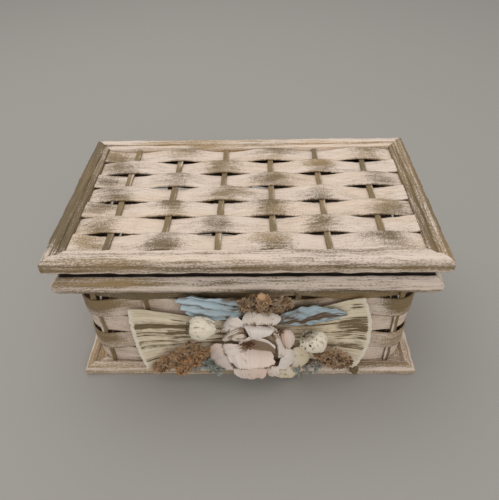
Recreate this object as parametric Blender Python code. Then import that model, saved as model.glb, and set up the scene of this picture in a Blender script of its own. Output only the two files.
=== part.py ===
"""A lidded storage box: splints woven round upright stakes between a moulded base and a
moulded rim, a woven lid in a mitred frame that lifts off, and a spray of dried flowers.

Metres, +Z up, front towards -Y. The origin is the middle of the flat underside.
"""

import math
from collections import namedtuple

import bmesh
import bpy
import numpy as np

MM = 0.001
# What two touching pieces keep between them
GAP = 0.3 * MM

# Weave
SPLINT_THICKNESS = 1.0 * MM
STAKE_WIDTH = 5.0 * MM
STAKE_THICKNESS = 2.2 * MM
WEAVE_PLAY = 0.4 * MM
FACETS_BETWEEN = 4

# Body, measured between the middles of opposite walls
BODY_LENGTH = 264.0 * MM
BODY_DEPTH = 147.2 * MM
BODY_CORNER_RADIUS = 18.0 * MM
ROW_COUNT = 5
ROW_PITCH = 20.2 * MM
STAKE_COUNT = 20

# Base frame; "out" sizes are measured outwards from the wall's face
BASE_FACE_HEIGHT = 6.0 * MM
BASE_SLOPE_RISE = 2.5 * MM
BASE_OUT = 7.8 * MM
BASE_LEDGE_DEPTH = 3.5 * MM
BASE_LEDGE_HEIGHT = 5.4 * MM
BOTTOM_THICKNESS = 3.5 * MM

# Rim frame
RIM_OUT = 7.5 * MM
RIM_CAP_THICKNESS = 7.0 * MM
RIM_CAP_OVERHANG = 1.0 * MM
RIM_CHAMFER_OUT = 4.6 * MM
RIM_CHAMFER_DROP = 3.9 * MM
RIM_FACE_HEIGHT = 5.5 * MM
RIM_UNDERCUT_OUT = 2.6 * MM
RIM_UNDERCUT_DROP = 4.9 * MM

# Lid frame
LID_OVERHANG = 1.8 * MM
LID_RAIL_WIDTH = 15.1 * MM
LID_RAIL_HEIGHT = 21.2 * MM
LID_INNER_EDGE_DROP = 2.0 * MM
LID_CROWN_INSET = 5.4 * MM
LID_CROWN_WIDTH = 7.2 * MM
LID_BEAD_STEP = 1.0 * MM
LID_SHOULDER_DROP = 1.1 * MM
LID_NOSE_DROP = 3.4 * MM
LID_NOSE_HEIGHT = 5.5 * MM
LID_UNDERSIDE_RISE = 7.2 * MM
LID_UNDERSIDE_DEPTH = 6.6 * MM
LID_NOSE_ROUNDING = 1.8 * MM
LID_LEDGE_DEPTH = 4.0 * MM
LID_LIP_DEPTH = 5.0 * MM
LID_LIP_CLEARANCE = 0.6 * MM

# Lid panel
LID_ROW_COUNT = 7
LID_STICK_COUNT = 6
# From the panel's ends to the middles of its outer sticks
LID_STICK_MARGIN = 27.7 * MM
LID_STICK_WIDTH = 4.8 * MM

# Spray of flowers; "out" sizes are measured outwards from the wall's face. The rose's centre is given
# from the box's middle and above its underside. The flowers are a free form: their places, from the
# rose's centre, and their sizes are hundredths of the span that they are laid out in
SPRAY_SPAN = 200.0 * MM
HUSK_THICKNESS = 0.8 * MM
HUSK_PLEAT = 0.7 * MM
HUSK_PLEATS = 5
HUSK_OUT = 2.1 * MM
HUSK_CURL = 2.2 * MM
LEAF_THICKNESS = 1.0 * MM
LEAF_OUT = 6.4 * MM
LEAF_RIB = 1.0 * MM
ROSE_CENTRE_X = 7.7 * MM
ROSE_CENTRE_HEIGHT = 47.0 * MM
ROSE_BACK_OUT = 4.6 * MM
ROSE_TILT = math.radians(10.0)
ROSE_HEART_RADIUS = 12.0 * MM
ROSE_HEART_DEPTH = 9.0 * MM
PETAL_THICKNESS = 1.4 * MM

Edge = namedtuple("Edge", "top middle bottom")
Leaf = namedtuple("Leaf", "stem tip width bow ribs")
Bud = namedtuple("Bud", "x height out half_length half_depth half_height point_angle")
Sprig = namedtuple("Sprig", "x height out half_length half_depth half_width angle")
Petal = namedtuple("Petal", "azimuth start reach width height lift cup")

# The husk's two outer edges and its gathered waist: top, middle and bottom as (x, height)
HUSK_LEFT_EDGE = Edge((-49.5, 17), (-50, -0.5), (-47.5, -18.5))
HUSK_RIGHT_EDGE = Edge((40.5, 23), (45.5, 1.5), (41, -18))
HUSK_WAIST = Edge((-2, 6.5), (-2, -0.5), (-2, -7.5))
# Stem and tip as (x, height), width, sideways bow and number of ribs
LEAVES = {
    "leaf_left": Leaf((-5, 18), (-31.5, 20.5), 12.5, 1, 3),
    "leaf_right": Leaf((8.5, 11.5), (34.5, 15.5), 10.5, 2, 1),
}
BUDS = {
    "bud_left": Bud(-21, 13.5, 8.5, 5.5, 3.9, 5.25, 0),
    "bud_right": Bud(22.15, 4, 7.75, 5.5, 3.75, 5.5, -60),
}
# Each sprig has one head or, on the left, two heads that meet
SPRIGS = {
    "sprig_left": [Sprig(-33.5, -8.5, 6, 14, 1.6, 4.5, 43), Sprig(-27, -10.5, 6.25, 11.5, 1.6, 4, 52)],
    "sprig_top": [Sprig(3, 24.5, 6.15, 10.5, 1.7, 5, 0)],
    "sprig_right": [Sprig(31, -8.5, 6.15, 9, 1.7, 6, -35)],
}
# Azimuth in degrees counter-clockwise from +X as seen from the front
ROSE_PETALS = [
    Petal(78, 3, 18, 21, 2.1, 4, 1),
    Petal(137, 3.25, 18.5, 15, 1.6, 4.25, 1.5),
    Petal(204, 2.75, 21, 18, 2.4, 4, 1.5),
    Petal(262, 3.5, 17.5, 19, 1.8, 5, 1.5),
    Petal(313, 3, 20, 17, 2.25, 4, 1.5),
    Petal(338, 3.75, 21.5, 13, 1.5, 3.25, 1),
    Petal(23, 3.25, 16, 9, 2.6, 3, 1),
    Petal(261, 3.5, 13, 25, 3.3, 6, 2.5),
    Petal(3, 3, 12, 13.5, 3.05, 5.5, 2),
    Petal(168, 3.25, 13, 13, 3.45, 4.5, 2),
    Petal(89, 3.5, 12, 18, 2.85, 5, 2),
]

WEAVE_AMPLITUDE = (SPLINT_THICKNESS + STAKE_THICKNESS) / 2 + WEAVE_PLAY
WEAVE_HALF = WEAVE_AMPLITUDE + SPLINT_THICKNESS / 2
HALF_LENGTH = BODY_LENGTH / 2
HALF_DEPTH = BODY_DEPTH / 2
WALL_BOTTOM = BASE_LEDGE_HEIGHT + GAP
WALL_TOP = WALL_BOTTOM + ROW_COUNT * ROW_PITCH
WALL_FACE_Y = -(HALF_DEPTH + WEAVE_HALF)
SPRAY_SHARE = SPRAY_SPAN / 100
RIM_TOP = WALL_TOP + GAP + RIM_CAP_THICKNESS
LID_REST = RIM_TOP + GAP
LID_NOSE = WEAVE_HALF + GAP + RIM_OUT + LID_OVERHANG
PANEL_EDGE = LID_NOSE - LID_RAIL_WIDTH
PANEL_HALF_LENGTH = HALF_LENGTH + PANEL_EDGE - GAP
PANEL_HALF_DEPTH = HALF_DEPTH + PANEL_EDGE - GAP
LID_STICK_PITCH = 2 * (PANEL_HALF_LENGTH - LID_STICK_MARGIN) / (LID_STICK_COUNT - 1)
LID_CREST = LID_REST + LID_RAIL_HEIGHT
PANEL_MIDDLE = LID_CREST - LID_INNER_EDGE_DROP - GAP - WEAVE_HALF


def clear_scene():
    """Remove every object of the open scene."""
    for thing in list(bpy.data.objects):
        bpy.data.objects.remove(thing, do_unlink=True)


def finish(name, colour, roughness):
    """One plain finish: a colour and a roughness."""
    material = bpy.data.materials.new(name)
    material.use_nodes = True
    shader = material.node_tree.nodes["Principled BSDF"]
    shader.inputs["Base Color"].default_value = (*colour, 1.0)
    shader.inputs["Roughness"].default_value = roughness
    material.diffuse_color = (*colour, 1.0)
    return material


def whitewashed_splint():
    """Pale pink-cream wash on thin wood splint."""
    return finish("whitewashed_splint", (0.58, 0.49, 0.42), 0.85)


def brown_stick():
    """Narrow sticks and stakes where the brown underpaint shows."""
    return finish("brown_stick", (0.22, 0.16, 0.09), 0.8)


def washed_moulding():
    """Moulded rails, whitewashed over brown."""
    return finish("washed_moulding", (0.50, 0.41, 0.31), 0.8)


def plain_board():
    """Thin bottom board."""
    return finish("plain_board", (0.40, 0.31, 0.21), 0.85)


def dried_husk():
    """Pale papery husk."""
    return finish("dried_husk", (0.49, 0.44, 0.29), 0.75)


def blue_leaf():
    """Dried leaf painted grey blue."""
    return finish("blue_leaf", (0.33, 0.46, 0.52), 0.7)


def cream_bud():
    """Closed cream bud."""
    return finish("cream_bud", (0.60, 0.55, 0.38), 0.7)


def pale_petal():
    """Thin pink-cream petals."""
    return finish("pale_petal", (0.66, 0.51, 0.42), 0.7)


def dried_sprig():
    """Brown dried flower heads."""
    return finish("dried_sprig", (0.24, 0.12, 0.06), 0.9)


def add_shell(name, shell, material, smooth=False):
    """One object from a closed shell, with its faces turned outwards."""
    shell.normal_update()
    bmesh.ops.recalc_face_normals(shell, faces=shell.faces)
    mesh = bpy.data.meshes.new(name)
    shell.to_mesh(mesh)
    shell.free()
    mesh.materials.append(material)
    if smooth:
        mesh.shade_smooth()
        mesh.set_sharp_from_angle(angle=math.radians(50))
    thing = bpy.data.objects.new(name, mesh)
    bpy.context.scene.collection.objects.link(thing)
    return thing


def add_solid(name, points, faces, material, smooth=False):
    """One closed mesh object from lists of points and faces."""
    shell = bmesh.new()
    verts = [shell.verts.new(point) for point in points]
    for face in faces:
        shell.faces.new([verts[corner] for corner in face])
    return add_shell(name, shell, material, smooth)


def sheet_faces(rows, columns, ring):
    """Faces of a thick sheet whose front grid is followed by its back grid."""
    spans = rows if ring else rows - 1
    back = rows * columns
    faces = []
    for i in range(spans):
        j = (i + 1) % rows
        for k in range(columns - 1):
            quad = (i * columns + k, j * columns + k, j * columns + k + 1, i * columns + k + 1)
            faces.append(quad)
            faces.append(tuple(back + corner for corner in reversed(quad)))
        for k in (0, columns - 1):
            faces.append((i * columns + k, j * columns + k, back + j * columns + k, back + i * columns + k))
    if not ring:
        for i in (0, rows - 1):
            for k in range(columns - 1):
                first = i * columns + k
                faces.append((first, first + 1, back + first + 1, back + first))
    return faces


def thick_sheet(name, middle, normal, thickness, material, ring=False, smooth=False):
    """A sheet of even thickness about a grid of middle points (rows, columns, 3)."""
    rows, columns = middle.shape[:2]
    front = middle + normal * thickness / 2
    back = middle - normal * thickness / 2
    points = np.concatenate([front.reshape(-1, 3), back.reshape(-1, 3)])
    return add_solid(name, points, sheet_faces(rows, columns, ring), material, smooth)


def grid_normals(grid):
    """Unit normals of a grid of points, from its two directions."""
    along = np.gradient(grid, axis=0)
    across = np.gradient(grid, axis=1)
    normal = np.cross(along, across)
    return normal / np.linalg.norm(normal, axis=2, keepdims=True)


def wall_perimeter():
    """Length once round the middle of the wall."""
    straight = 2 * (BODY_LENGTH + BODY_DEPTH) - 8 * BODY_CORNER_RADIUS
    return straight + 2 * math.pi * BODY_CORNER_RADIUS


def wall_place(distance):
    """Point (x, y) and outward normal on the wall's middle, a distance from the front's centre.

    The plan is a rectangle with round corners, walked anticlockwise as seen from above."""
    radius = BODY_CORNER_RADIUS
    long_run = BODY_LENGTH - 2 * radius
    short_run = BODY_DEPTH - 2 * radius
    arc = math.pi * radius / 2
    rest = distance % wall_perimeter()
    x, y = 0.0, -HALF_DEPTH
    heading = 0.0
    for run in (long_run / 2, short_run, long_run, short_run, long_run / 2):
        if rest <= run:
            x += rest * math.cos(heading)
            y += rest * math.sin(heading)
            return x, y, math.sin(heading), -math.cos(heading)
        x += run * math.cos(heading)
        y += run * math.sin(heading)
        rest -= run
        turn = min(rest, arc) / radius
        centre_x = x - radius * math.sin(heading)
        centre_y = y + radius * math.cos(heading)
        heading += turn
        x = centre_x + radius * math.sin(heading)
        y = centre_y - radius * math.cos(heading)
        if rest < arc:
            return x, y, math.sin(heading), -math.cos(heading)
        rest -= arc
    return x, y, math.sin(heading), -math.cos(heading)


def weave_stations(first, last, pitch, width):
    """Distances along a splint where it bends: at both edges of each stake and between them."""
    between = np.linspace(width / 2, pitch - width / 2, FACETS_BETWEEN + 1)
    starts = np.arange(first, last) * pitch
    return (starts[:, None] + between[None, :]).ravel()


def wall_row(index):
    """One splint ring: it passes outside and inside of the stakes in turn."""
    pitch = wall_perimeter() / STAKE_COUNT
    stations = weave_stations(0, STAKE_COUNT, pitch, STAKE_WIDTH)
    side = -1 if index % 2 else 1
    bottom = WALL_BOTTOM + index * ROW_PITCH
    heights = np.array([bottom, bottom + ROW_PITCH - GAP])
    middle = np.zeros((len(stations), 2, 3))
    normal = np.zeros((len(stations), 2, 3))
    for step, distance in enumerate(stations):
        x, y, nx, ny = wall_place(distance)
        wave = side * WEAVE_AMPLITUDE * math.cos(math.pi * distance / pitch)
        middle[step, :, 0] = x + nx * wave
        middle[step, :, 1] = y + ny * wave
        middle[step, :, 2] = heights
        normal[step, :, 0] = nx
        normal[step, :, 1] = ny
    return thick_sheet(
        f"wall_splint_{index + 1}", middle, normal, SPLINT_THICKNESS, whitewashed_splint(), ring=True
    )


def strip_mesh(name, width, thickness, length, material):
    """A straight strip: width along X, thickness along Y, standing along Z from its foot."""
    mesh = bpy.data.meshes.new(name)
    shell = bmesh.new()
    bmesh.ops.create_cube(shell, size=1.0)
    bmesh.ops.translate(shell, verts=shell.verts, vec=(0, 0, 0.5))
    bmesh.ops.scale(shell, verts=shell.verts, vec=(width, thickness, length))
    shell.to_mesh(mesh)
    shell.free()
    mesh.materials.append(material)
    return mesh


def stakes():
    """Upright stakes on the wall's middle, evenly spaced round the body."""
    height = ROW_COUNT * ROW_PITCH - GAP
    mesh = strip_mesh("wall_stake", STAKE_WIDTH, STAKE_THICKNESS, height, brown_stick())
    for index in range(STAKE_COUNT):
        x, y, nx, ny = wall_place(index * wall_perimeter() / STAKE_COUNT)
        stake = bpy.data.objects.new(f"wall_stake_{index + 1:02d}", mesh)
        stake.location = (x, y, WALL_BOTTOM)
        stake.rotation_euler = (0, 0, math.atan2(ny, nx) + math.pi / 2)
        bpy.context.scene.collection.objects.link(stake)


def mitred_frame(prefix, outline, material):
    """Four rails with mitred ends round the body.

    The outline is a closed list of (out, z): out is measured from the wall's middle."""
    trim = GAP / math.sqrt(2)
    count = len(outline)
    sides = {"front": (0, -1), "right": (1, 0), "back": (0, 1), "left": (-1, 0)}
    for side, (face_x, face_y) in sides.items():
        points = []
        for end in (-1, 1):
            for out, z in outline:
                if face_y:
                    points.append((end * (HALF_LENGTH + out - trim), face_y * (HALF_DEPTH + out), z))
                else:
                    points.append((face_x * (HALF_LENGTH + out), end * (HALF_DEPTH + out - trim), z))
        faces = [tuple(range(count)), tuple(range(count, 2 * count))]
        for k in range(count):
            after = (k + 1) % count
            faces.append((k, after, count + after, count + k))
        add_solid(f"{prefix}_{side}", points, faces, material)


def arc_points(centre, radii, start, stop, steps):
    """Points on an ellipse's arc, between two angles in degrees."""
    angles = np.radians(np.linspace(start, stop, steps))
    return [(centre[0] + radii[0] * math.cos(a), centre[1] + radii[1] * math.sin(a)) for a in angles]


def base_frame():
    """Base rails: an upright face, a slope up to the wall and a ledge that the wall stands on."""
    face = WEAVE_HALF + GAP
    nose = face + BASE_OUT
    inner = -(WEAVE_HALF + BASE_LEDGE_DEPTH)
    slope_top = BASE_FACE_HEIGHT + BASE_SLOPE_RISE
    outline = [
        (inner, 0.0),
        (nose, 0.0),
        (nose, BASE_FACE_HEIGHT),
        (face, slope_top),
        (face, BASE_LEDGE_HEIGHT),
        (inner, BASE_LEDGE_HEIGHT),
    ]
    mitred_frame("base_rail", outline, washed_moulding())


def bottom_board():
    """The box's bottom, between the base rails and flush with their underside."""
    inset = WEAVE_HALF + BASE_LEDGE_DEPTH + GAP
    x = HALF_LENGTH - inset
    y = HALF_DEPTH - inset
    points = [(sx * x, sy * y, z) for z in (0.0, BOTTOM_THICKNESS) for sx, sy in
              ((-1, -1), (1, -1), (1, 1), (-1, 1))]
    faces = [(3, 2, 1, 0), (4, 5, 6, 7), (0, 1, 5, 4), (1, 2, 6, 5), (2, 3, 7, 6), (3, 0, 4, 7)]
    add_solid("bottom_board", points, faces, plain_board())


def rim_frame():
    """Rim rails: a cap over the wall's top edge and a moulding down its outside."""
    face = WEAVE_HALF + GAP
    nose = face + RIM_OUT
    inner = -(WEAVE_HALF + RIM_CAP_OVERHANG)
    cap_under = WALL_TOP + GAP
    nose_top = RIM_TOP - RIM_CHAMFER_DROP
    nose_foot = nose_top - RIM_FACE_HEIGHT
    outline = [
        (inner, cap_under),
        (inner, RIM_TOP),
        (nose - RIM_CHAMFER_OUT, RIM_TOP),
        (nose, nose_top),
        (nose, nose_foot),
        (nose - RIM_UNDERCUT_OUT, nose_foot - RIM_UNDERCUT_DROP),
        (face, nose_foot - RIM_UNDERCUT_DROP),
        (face, cap_under),
    ]
    mitred_frame("rim_rail", outline, washed_moulding())


def lid_frame():
    """Lid rails: a crown between two steps, a rounded nose, a rabbet over the rim, a lip that
    drops inside it and a ledge that carries the panel."""
    inner_top = LID_CREST - LID_INNER_EDGE_DROP
    ledge = PANEL_MIDDLE - WEAVE_HALF - GAP
    ledge_inner = PANEL_EDGE - LID_LEDGE_DEPTH
    lip_face = -(WEAVE_HALF + RIM_CAP_OVERHANG + LID_LIP_CLEARANCE)
    crown_start = PANEL_EDGE + LID_CROWN_INSET
    crown_middle = crown_start + LID_CROWN_WIDTH / 2
    crown_rise = LID_INNER_EDGE_DROP - LID_BEAD_STEP
    crown = arc_points(
        (crown_middle, LID_CREST - crown_rise), (LID_CROWN_WIDTH / 2, crown_rise), 180, 0, 6
    )
    crown_end = crown_start + LID_CROWN_WIDTH
    nose_top = LID_CREST - LID_NOSE_DROP
    shoulder = arc_points(
        (crown_end, nose_top), (LID_NOSE - crown_end, LID_NOSE_DROP - LID_SHOULDER_DROP), 90, 0, 5
    )
    underside = LID_REST + LID_UNDERSIDE_RISE
    outline = [
        (ledge_inner, LID_REST - LID_LIP_DEPTH),
        (ledge_inner, ledge),
        (PANEL_EDGE, ledge),
        (PANEL_EDGE, inner_top),
        (crown_start, inner_top),
        *crown,
        *shoulder,
        (LID_NOSE, nose_top - LID_NOSE_HEIGHT),
        (LID_NOSE - LID_NOSE_ROUNDING, underside),
        (LID_NOSE - LID_NOSE_ROUNDING - LID_UNDERSIDE_DEPTH, underside),
        (LID_NOSE - LID_NOSE_ROUNDING - LID_UNDERSIDE_DEPTH, LID_REST),
        (lip_face, LID_REST),
        (lip_face, LID_REST - LID_LIP_DEPTH),
    ]
    mitred_frame("lid_rail", outline, washed_moulding())


def lid_sticks():
    """Narrow sticks from front to back in the lid panel."""
    length = 2 * PANEL_HALF_DEPTH
    mesh = strip_mesh("lid_stick", LID_STICK_WIDTH, STAKE_THICKNESS, length, brown_stick())
    for index in range(LID_STICK_COUNT):
        stick = bpy.data.objects.new(f"lid_stick_{index + 1}", mesh)
        x = (index - (LID_STICK_COUNT - 1) / 2) * LID_STICK_PITCH
        stick.location = (x, PANEL_HALF_DEPTH, PANEL_MIDDLE)
        stick.rotation_euler = (math.pi / 2, 0, 0)
        bpy.context.scene.collection.objects.link(stick)


def lid_splint(index):
    """One long splint of the lid panel, over and under the sticks; index 0 is at the back."""
    pitch = 2 * PANEL_HALF_DEPTH / LID_ROW_COUNT
    half_width = (pitch - GAP) / 2
    centre_y = PANEL_HALF_DEPTH - (index + 0.5) * pitch
    side = 1 if index % 2 else -1
    first_stick = -(LID_STICK_COUNT - 1) / 2 * LID_STICK_PITCH
    bends = first_stick + weave_stations(-1, LID_STICK_COUNT, LID_STICK_PITCH, LID_STICK_WIDTH)
    bends = bends[np.abs(bends) < PANEL_HALF_LENGTH - LID_STICK_WIDTH]
    x = np.concatenate([[-PANEL_HALF_LENGTH], bends, [PANEL_HALF_LENGTH]])
    wave = side * WEAVE_AMPLITUDE * np.cos(math.pi * (x - first_stick) / LID_STICK_PITCH)
    middle = np.zeros((len(x), 2, 3))
    middle[:, :, 0] = x[:, None]
    middle[:, :, 1] = centre_y + half_width * np.array([-1.0, 1.0])
    middle[:, :, 2] = PANEL_MIDDLE + wave[:, None]
    normal = np.zeros_like(middle)
    normal[:, :, 2] = 1.0
    thick_sheet(f"lid_splint_{index + 1}", middle, normal, SPLINT_THICKNESS, whitewashed_splint())


def in_front(x, out, height):
    """A place in front of the wall: x and height from the rose's centre, and out from the wall's face."""
    return np.stack([ROSE_CENTRE_X + x, WALL_FACE_Y - out, ROSE_CENTRE_HEIGHT + height], axis=-1)


def edge_curve(edge, v):
    """Points (x, height) on the curve through an edge's bottom, middle and top, for v from 0 to 1."""
    bottom, middle, top = (np.array(p) * SPRAY_SHARE for p in (edge.bottom, edge.middle, edge.top))
    bend = 2 * middle - (bottom + top) / 2
    v = v[:, None]
    return (1 - v) ** 2 * bottom + 2 * v * (1 - v) * bend + v ** 2 * top


def husk_fan():
    """A pleated husk gathered at its waist: it fans out to a curled edge on either side."""
    u = np.linspace(-1, 1, 11)[:, None]
    v = np.linspace(0, 1, 2 * HUSK_PLEATS + 1)
    waist = edge_curve(HUSK_WAIST, v)
    left = edge_curve(HUSK_LEFT_EDGE, v)
    right = edge_curve(HUSK_RIGHT_EDGE, v)
    spread = np.abs(u)[..., None]
    plan = waist * (1 - spread) + np.where(u[..., None] < 0, left, right) * spread
    pleats = HUSK_PLEAT * np.abs(u) * np.cos(2 * math.pi * HUSK_PLEATS * v)
    curl = HUSK_CURL * np.clip((np.abs(u) - 0.8) / 0.2, 0, 1) ** 2
    height = plan[..., 1]
    above_base = ROSE_CENTRE_HEIGHT + height - BASE_FACE_HEIGHT
    low = np.clip(1 - above_base / (WALL_TOP - BASE_FACE_HEIGHT), 0, 1)
    lift = (BASE_OUT - HUSK_OUT) * low ** 2 * np.abs(u)
    middle = in_front(plan[..., 0], HUSK_OUT + lift + pleats + curl, height)
    normal = np.broadcast_to(np.array([0.0, -1.0, 0.0]), middle.shape)
    thick_sheet("husk_fan", middle, normal, HUSK_THICKNESS, dried_husk(), smooth=True)


def leaf_blade(name, leaf):
    """A leaf from stem to tip: widest near its middle, ribbed along its length, cupped."""
    u = np.linspace(0.0, 1.0, 9)[:, None]
    v = np.linspace(-1.0, 1.0, 2 * leaf.ribs + 3)[None, :]
    stem = np.array(leaf.stem) * SPRAY_SHARE
    tip = np.array(leaf.tip) * SPRAY_SHARE
    along = (tip - stem) / np.linalg.norm(tip - stem)
    side = np.array([-along[1], along[0]])
    half = leaf.width * SPRAY_SHARE / 2 * np.sin(math.pi * (0.14 + 0.80 * u)) ** 0.6
    bow = leaf.bow * SPRAY_SHARE * np.sin(math.pi * u)
    plan = stem + (tip - stem) * u[..., None] + side * (half * v + bow)[..., None]
    ribs = LEAF_RIB * np.cos(math.pi * (leaf.ribs + 1) * v) * np.ones_like(u)
    middle = in_front(plan[..., 0], LEAF_OUT + ribs, plan[..., 1])
    normal = np.broadcast_to(np.array([0.0, -1.0, 0.0]), middle.shape)
    thick_sheet(name, middle, normal, LEAF_THICKNESS, blue_leaf(), smooth=True)


def lobed_body(name, centre, half_sizes, angle, lobes, lobe_depth, point, segments, rings, material):
    """A rounded body with lobes along its length, drawn out to a point at one end.

    Its long axis lies in the front's plane, turned by angle from +X."""
    shell = bmesh.new()
    bmesh.ops.create_uvsphere(shell, u_segments=segments, v_segments=rings, radius=1.0)
    cos_a, sin_a = math.cos(angle), math.sin(angle)
    for vert in shell.verts:
        across_x, across_y, along = vert.co
        turn = math.atan2(across_y, across_x)
        girth = 1 + lobe_depth * math.cos(lobes * turn) * (1 - along ** 2)
        reach = along * (1 + point * max(along, 0.0) ** 3)
        long_part = reach * half_sizes[0]
        side_part = across_x * girth * half_sizes[2]
        out_part = across_y * girth * half_sizes[1]
        vert.co = (
            centre[0] + long_part * cos_a - side_part * sin_a,
            centre[1] - out_part,
            centre[2] + long_part * sin_a + side_part * cos_a,
        )
    return add_shell(name, shell, material, smooth=True)


def grow_onto(body, addition):
    """Join a closed shape to a body that it overlaps, so that both are one solid."""
    addition.hide_render = True
    addition.display_type = "WIRE"
    union = body.modifiers.new(addition.name, "BOOLEAN")
    union.operation = "UNION"
    union.object = addition


def connected_groups(shell):
    """The vertices of a mesh, grouped by what hangs together."""
    left = set(shell.verts)
    groups = []
    while left:
        reached = {left.pop()}
        front = list(reached)
        while front:
            vert = front.pop()
            for edge in vert.link_edges:
                other = edge.other_vert(vert)
                if other not in reached:
                    reached.add(other)
                    front.append(other)
        left -= reached
        groups.append(reached)
    return groups


def fill_pockets(body):
    """Work out a body's unions, and make the pockets that they closed off inside it solid."""
    bpy.context.view_layer.update()
    grown = body.evaluated_get(bpy.context.evaluated_depsgraph_get())
    shell = bmesh.new()
    shell.from_mesh(grown.to_mesh())
    groups = sorted(connected_groups(shell), key=len)
    for pocket in groups[:-1]:
        bmesh.ops.delete(shell, geom=list(pocket), context="VERTS")
    body.modifiers.clear()
    shell.to_mesh(body.data)
    shell.free()


def bud(name, size):
    """A closed bud of five folded petals."""
    centre = in_front(size.x * SPRAY_SHARE, size.out * SPRAY_SHARE, size.height * SPRAY_SHARE)
    halves = np.array([size.half_length, size.half_depth, size.half_height]) * SPRAY_SHARE
    lobed_body(name, centre, halves, math.radians(size.point_angle), 5, 0.06, 0.12, 15, 9, cream_bud())


def sprig(name, heads):
    """A dried flower head, as the bumpy outer form of its many florets."""
    first = None
    for index, size in enumerate(heads):
        centre = in_front(size.x * SPRAY_SHARE, size.out * SPRAY_SHARE, size.height * SPRAY_SHARE)
        halves = np.array([size.half_length, size.half_depth, size.half_width]) * SPRAY_SHARE
        turn = math.radians(size.angle)
        part_name = name if index == 0 else f"{name}_head_{index}"
        head = lobed_body(part_name, centre, halves, turn, 4, 0.10, 0.0, 12, 8, dried_sprig())
        if first is None:
            first = head
        else:
            grow_onto(first, head)


def rose_place(sideways, upwards, forwards):
    """A point in the rose's own directions, which lean back by its tilt, as metres."""
    cos_t, sin_t = math.cos(ROSE_TILT), math.sin(ROSE_TILT)
    x = ROSE_CENTRE_X + sideways
    y = WALL_FACE_Y - ROSE_BACK_OUT - forwards * cos_t + upwards * sin_t
    z = ROSE_CENTRE_HEIGHT + forwards * sin_t + upwards * cos_t
    return np.stack([x, y, z], axis=-1)


def rose_petal(index, petal):
    """One cupped petal, from the heart outwards."""
    t = np.linspace(0.0, 1.0, 5)[:, None]
    s = np.linspace(-1.0, 1.0, 5)[None, :]
    half = petal.width * SPRAY_SHARE / 2 * np.sin(math.pi * (0.08 + 0.79 * t)) ** 0.7
    radius = (petal.start + (petal.reach - petal.start) * (t - 0.16 * t * s ** 2)) * SPRAY_SHARE
    height = (petal.height + petal.lift * t ** 1.5 + petal.cup * t * s ** 2) * SPRAY_SHARE
    azimuth = math.radians(petal.azimuth)
    sideways = radius * math.cos(azimuth) - half * s * math.sin(azimuth)
    upwards = radius * math.sin(azimuth) + half * s * math.cos(azimuth)
    middle = rose_place(sideways, upwards, height)
    return thick_sheet(f"petal_{index}", middle, grid_normals(middle), PETAL_THICKNESS, pale_petal())


def rose():
    """The rose: a heart with its petals grown onto it as one body."""
    shell = bmesh.new()
    bmesh.ops.create_uvsphere(shell, u_segments=10, v_segments=6, radius=1.0)
    for vert in shell.verts:
        sideways, upwards, forwards = vert.co
        forwards = (forwards + 1) * ROSE_HEART_DEPTH / 2
        spot = rose_place(sideways * ROSE_HEART_RADIUS, upwards * ROSE_HEART_RADIUS, forwards)
        vert.co = tuple(spot)
    heart = add_shell("rose", shell, pale_petal())
    for index, petal in enumerate(ROSE_PETALS):
        grow_onto(heart, rose_petal(index, petal))
    fill_pockets(heart)


def build():
    """Make every piece of the box."""
    clear_scene()
    base_frame()
    bottom_board()
    for index in range(ROW_COUNT):
        wall_row(index)
    stakes()
    rim_frame()
    lid_frame()
    lid_sticks()
    for index in range(LID_ROW_COUNT):
        lid_splint(index)
    husk_fan()
    for name, leaf in LEAVES.items():
        leaf_blade(name, leaf)
    for name, size in BUDS.items():
        bud(name, size)
    for name, heads in SPRIGS.items():
        sprig(name, heads)
    rose()


build()
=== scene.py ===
"""The looks of a lidded storage box: whitewashed splints woven round upright stakes, moulded
rails, and a spray of dried flowers on the front. Metres, +Z up, front towards -Y."""

import math
from collections import namedtuple

import bpy
import numpy as np
from bpy.props import FloatProperty, FloatVectorProperty, PointerProperty
from mathutils import Matrix, Vector


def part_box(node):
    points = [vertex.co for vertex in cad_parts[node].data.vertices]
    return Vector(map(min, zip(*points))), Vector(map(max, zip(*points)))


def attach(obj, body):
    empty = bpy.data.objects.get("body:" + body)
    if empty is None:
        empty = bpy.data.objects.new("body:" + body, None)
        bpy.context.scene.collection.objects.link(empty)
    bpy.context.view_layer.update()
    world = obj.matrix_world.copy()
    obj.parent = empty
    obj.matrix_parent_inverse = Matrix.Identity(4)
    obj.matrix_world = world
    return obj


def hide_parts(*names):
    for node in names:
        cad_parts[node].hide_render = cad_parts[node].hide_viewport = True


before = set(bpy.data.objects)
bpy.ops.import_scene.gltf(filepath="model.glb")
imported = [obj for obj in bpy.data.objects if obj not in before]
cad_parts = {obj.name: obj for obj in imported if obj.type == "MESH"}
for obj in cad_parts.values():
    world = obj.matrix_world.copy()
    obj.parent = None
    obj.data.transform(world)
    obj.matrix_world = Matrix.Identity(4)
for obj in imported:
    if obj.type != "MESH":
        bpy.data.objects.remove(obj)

bl_info = {
    "name": "Woven storage box",
    "version": (1, 0, 0),
    "blender": (4, 5, 0),
    "location": "View3D > Sidebar > Woven box",
    "description": "Surfaces and finishes of a whitewashed woven box with dried flowers on its front",
    "category": "Object",
}

MM = 0.001
SIDES = {"front": (0, -1), "right": (1, 0), "back": (0, 1), "left": (-1, 0)}
FRONT = np.array([0.0, -1.0, 0.0])
UP = np.array([0.0, 0.0, 1.0])

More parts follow.
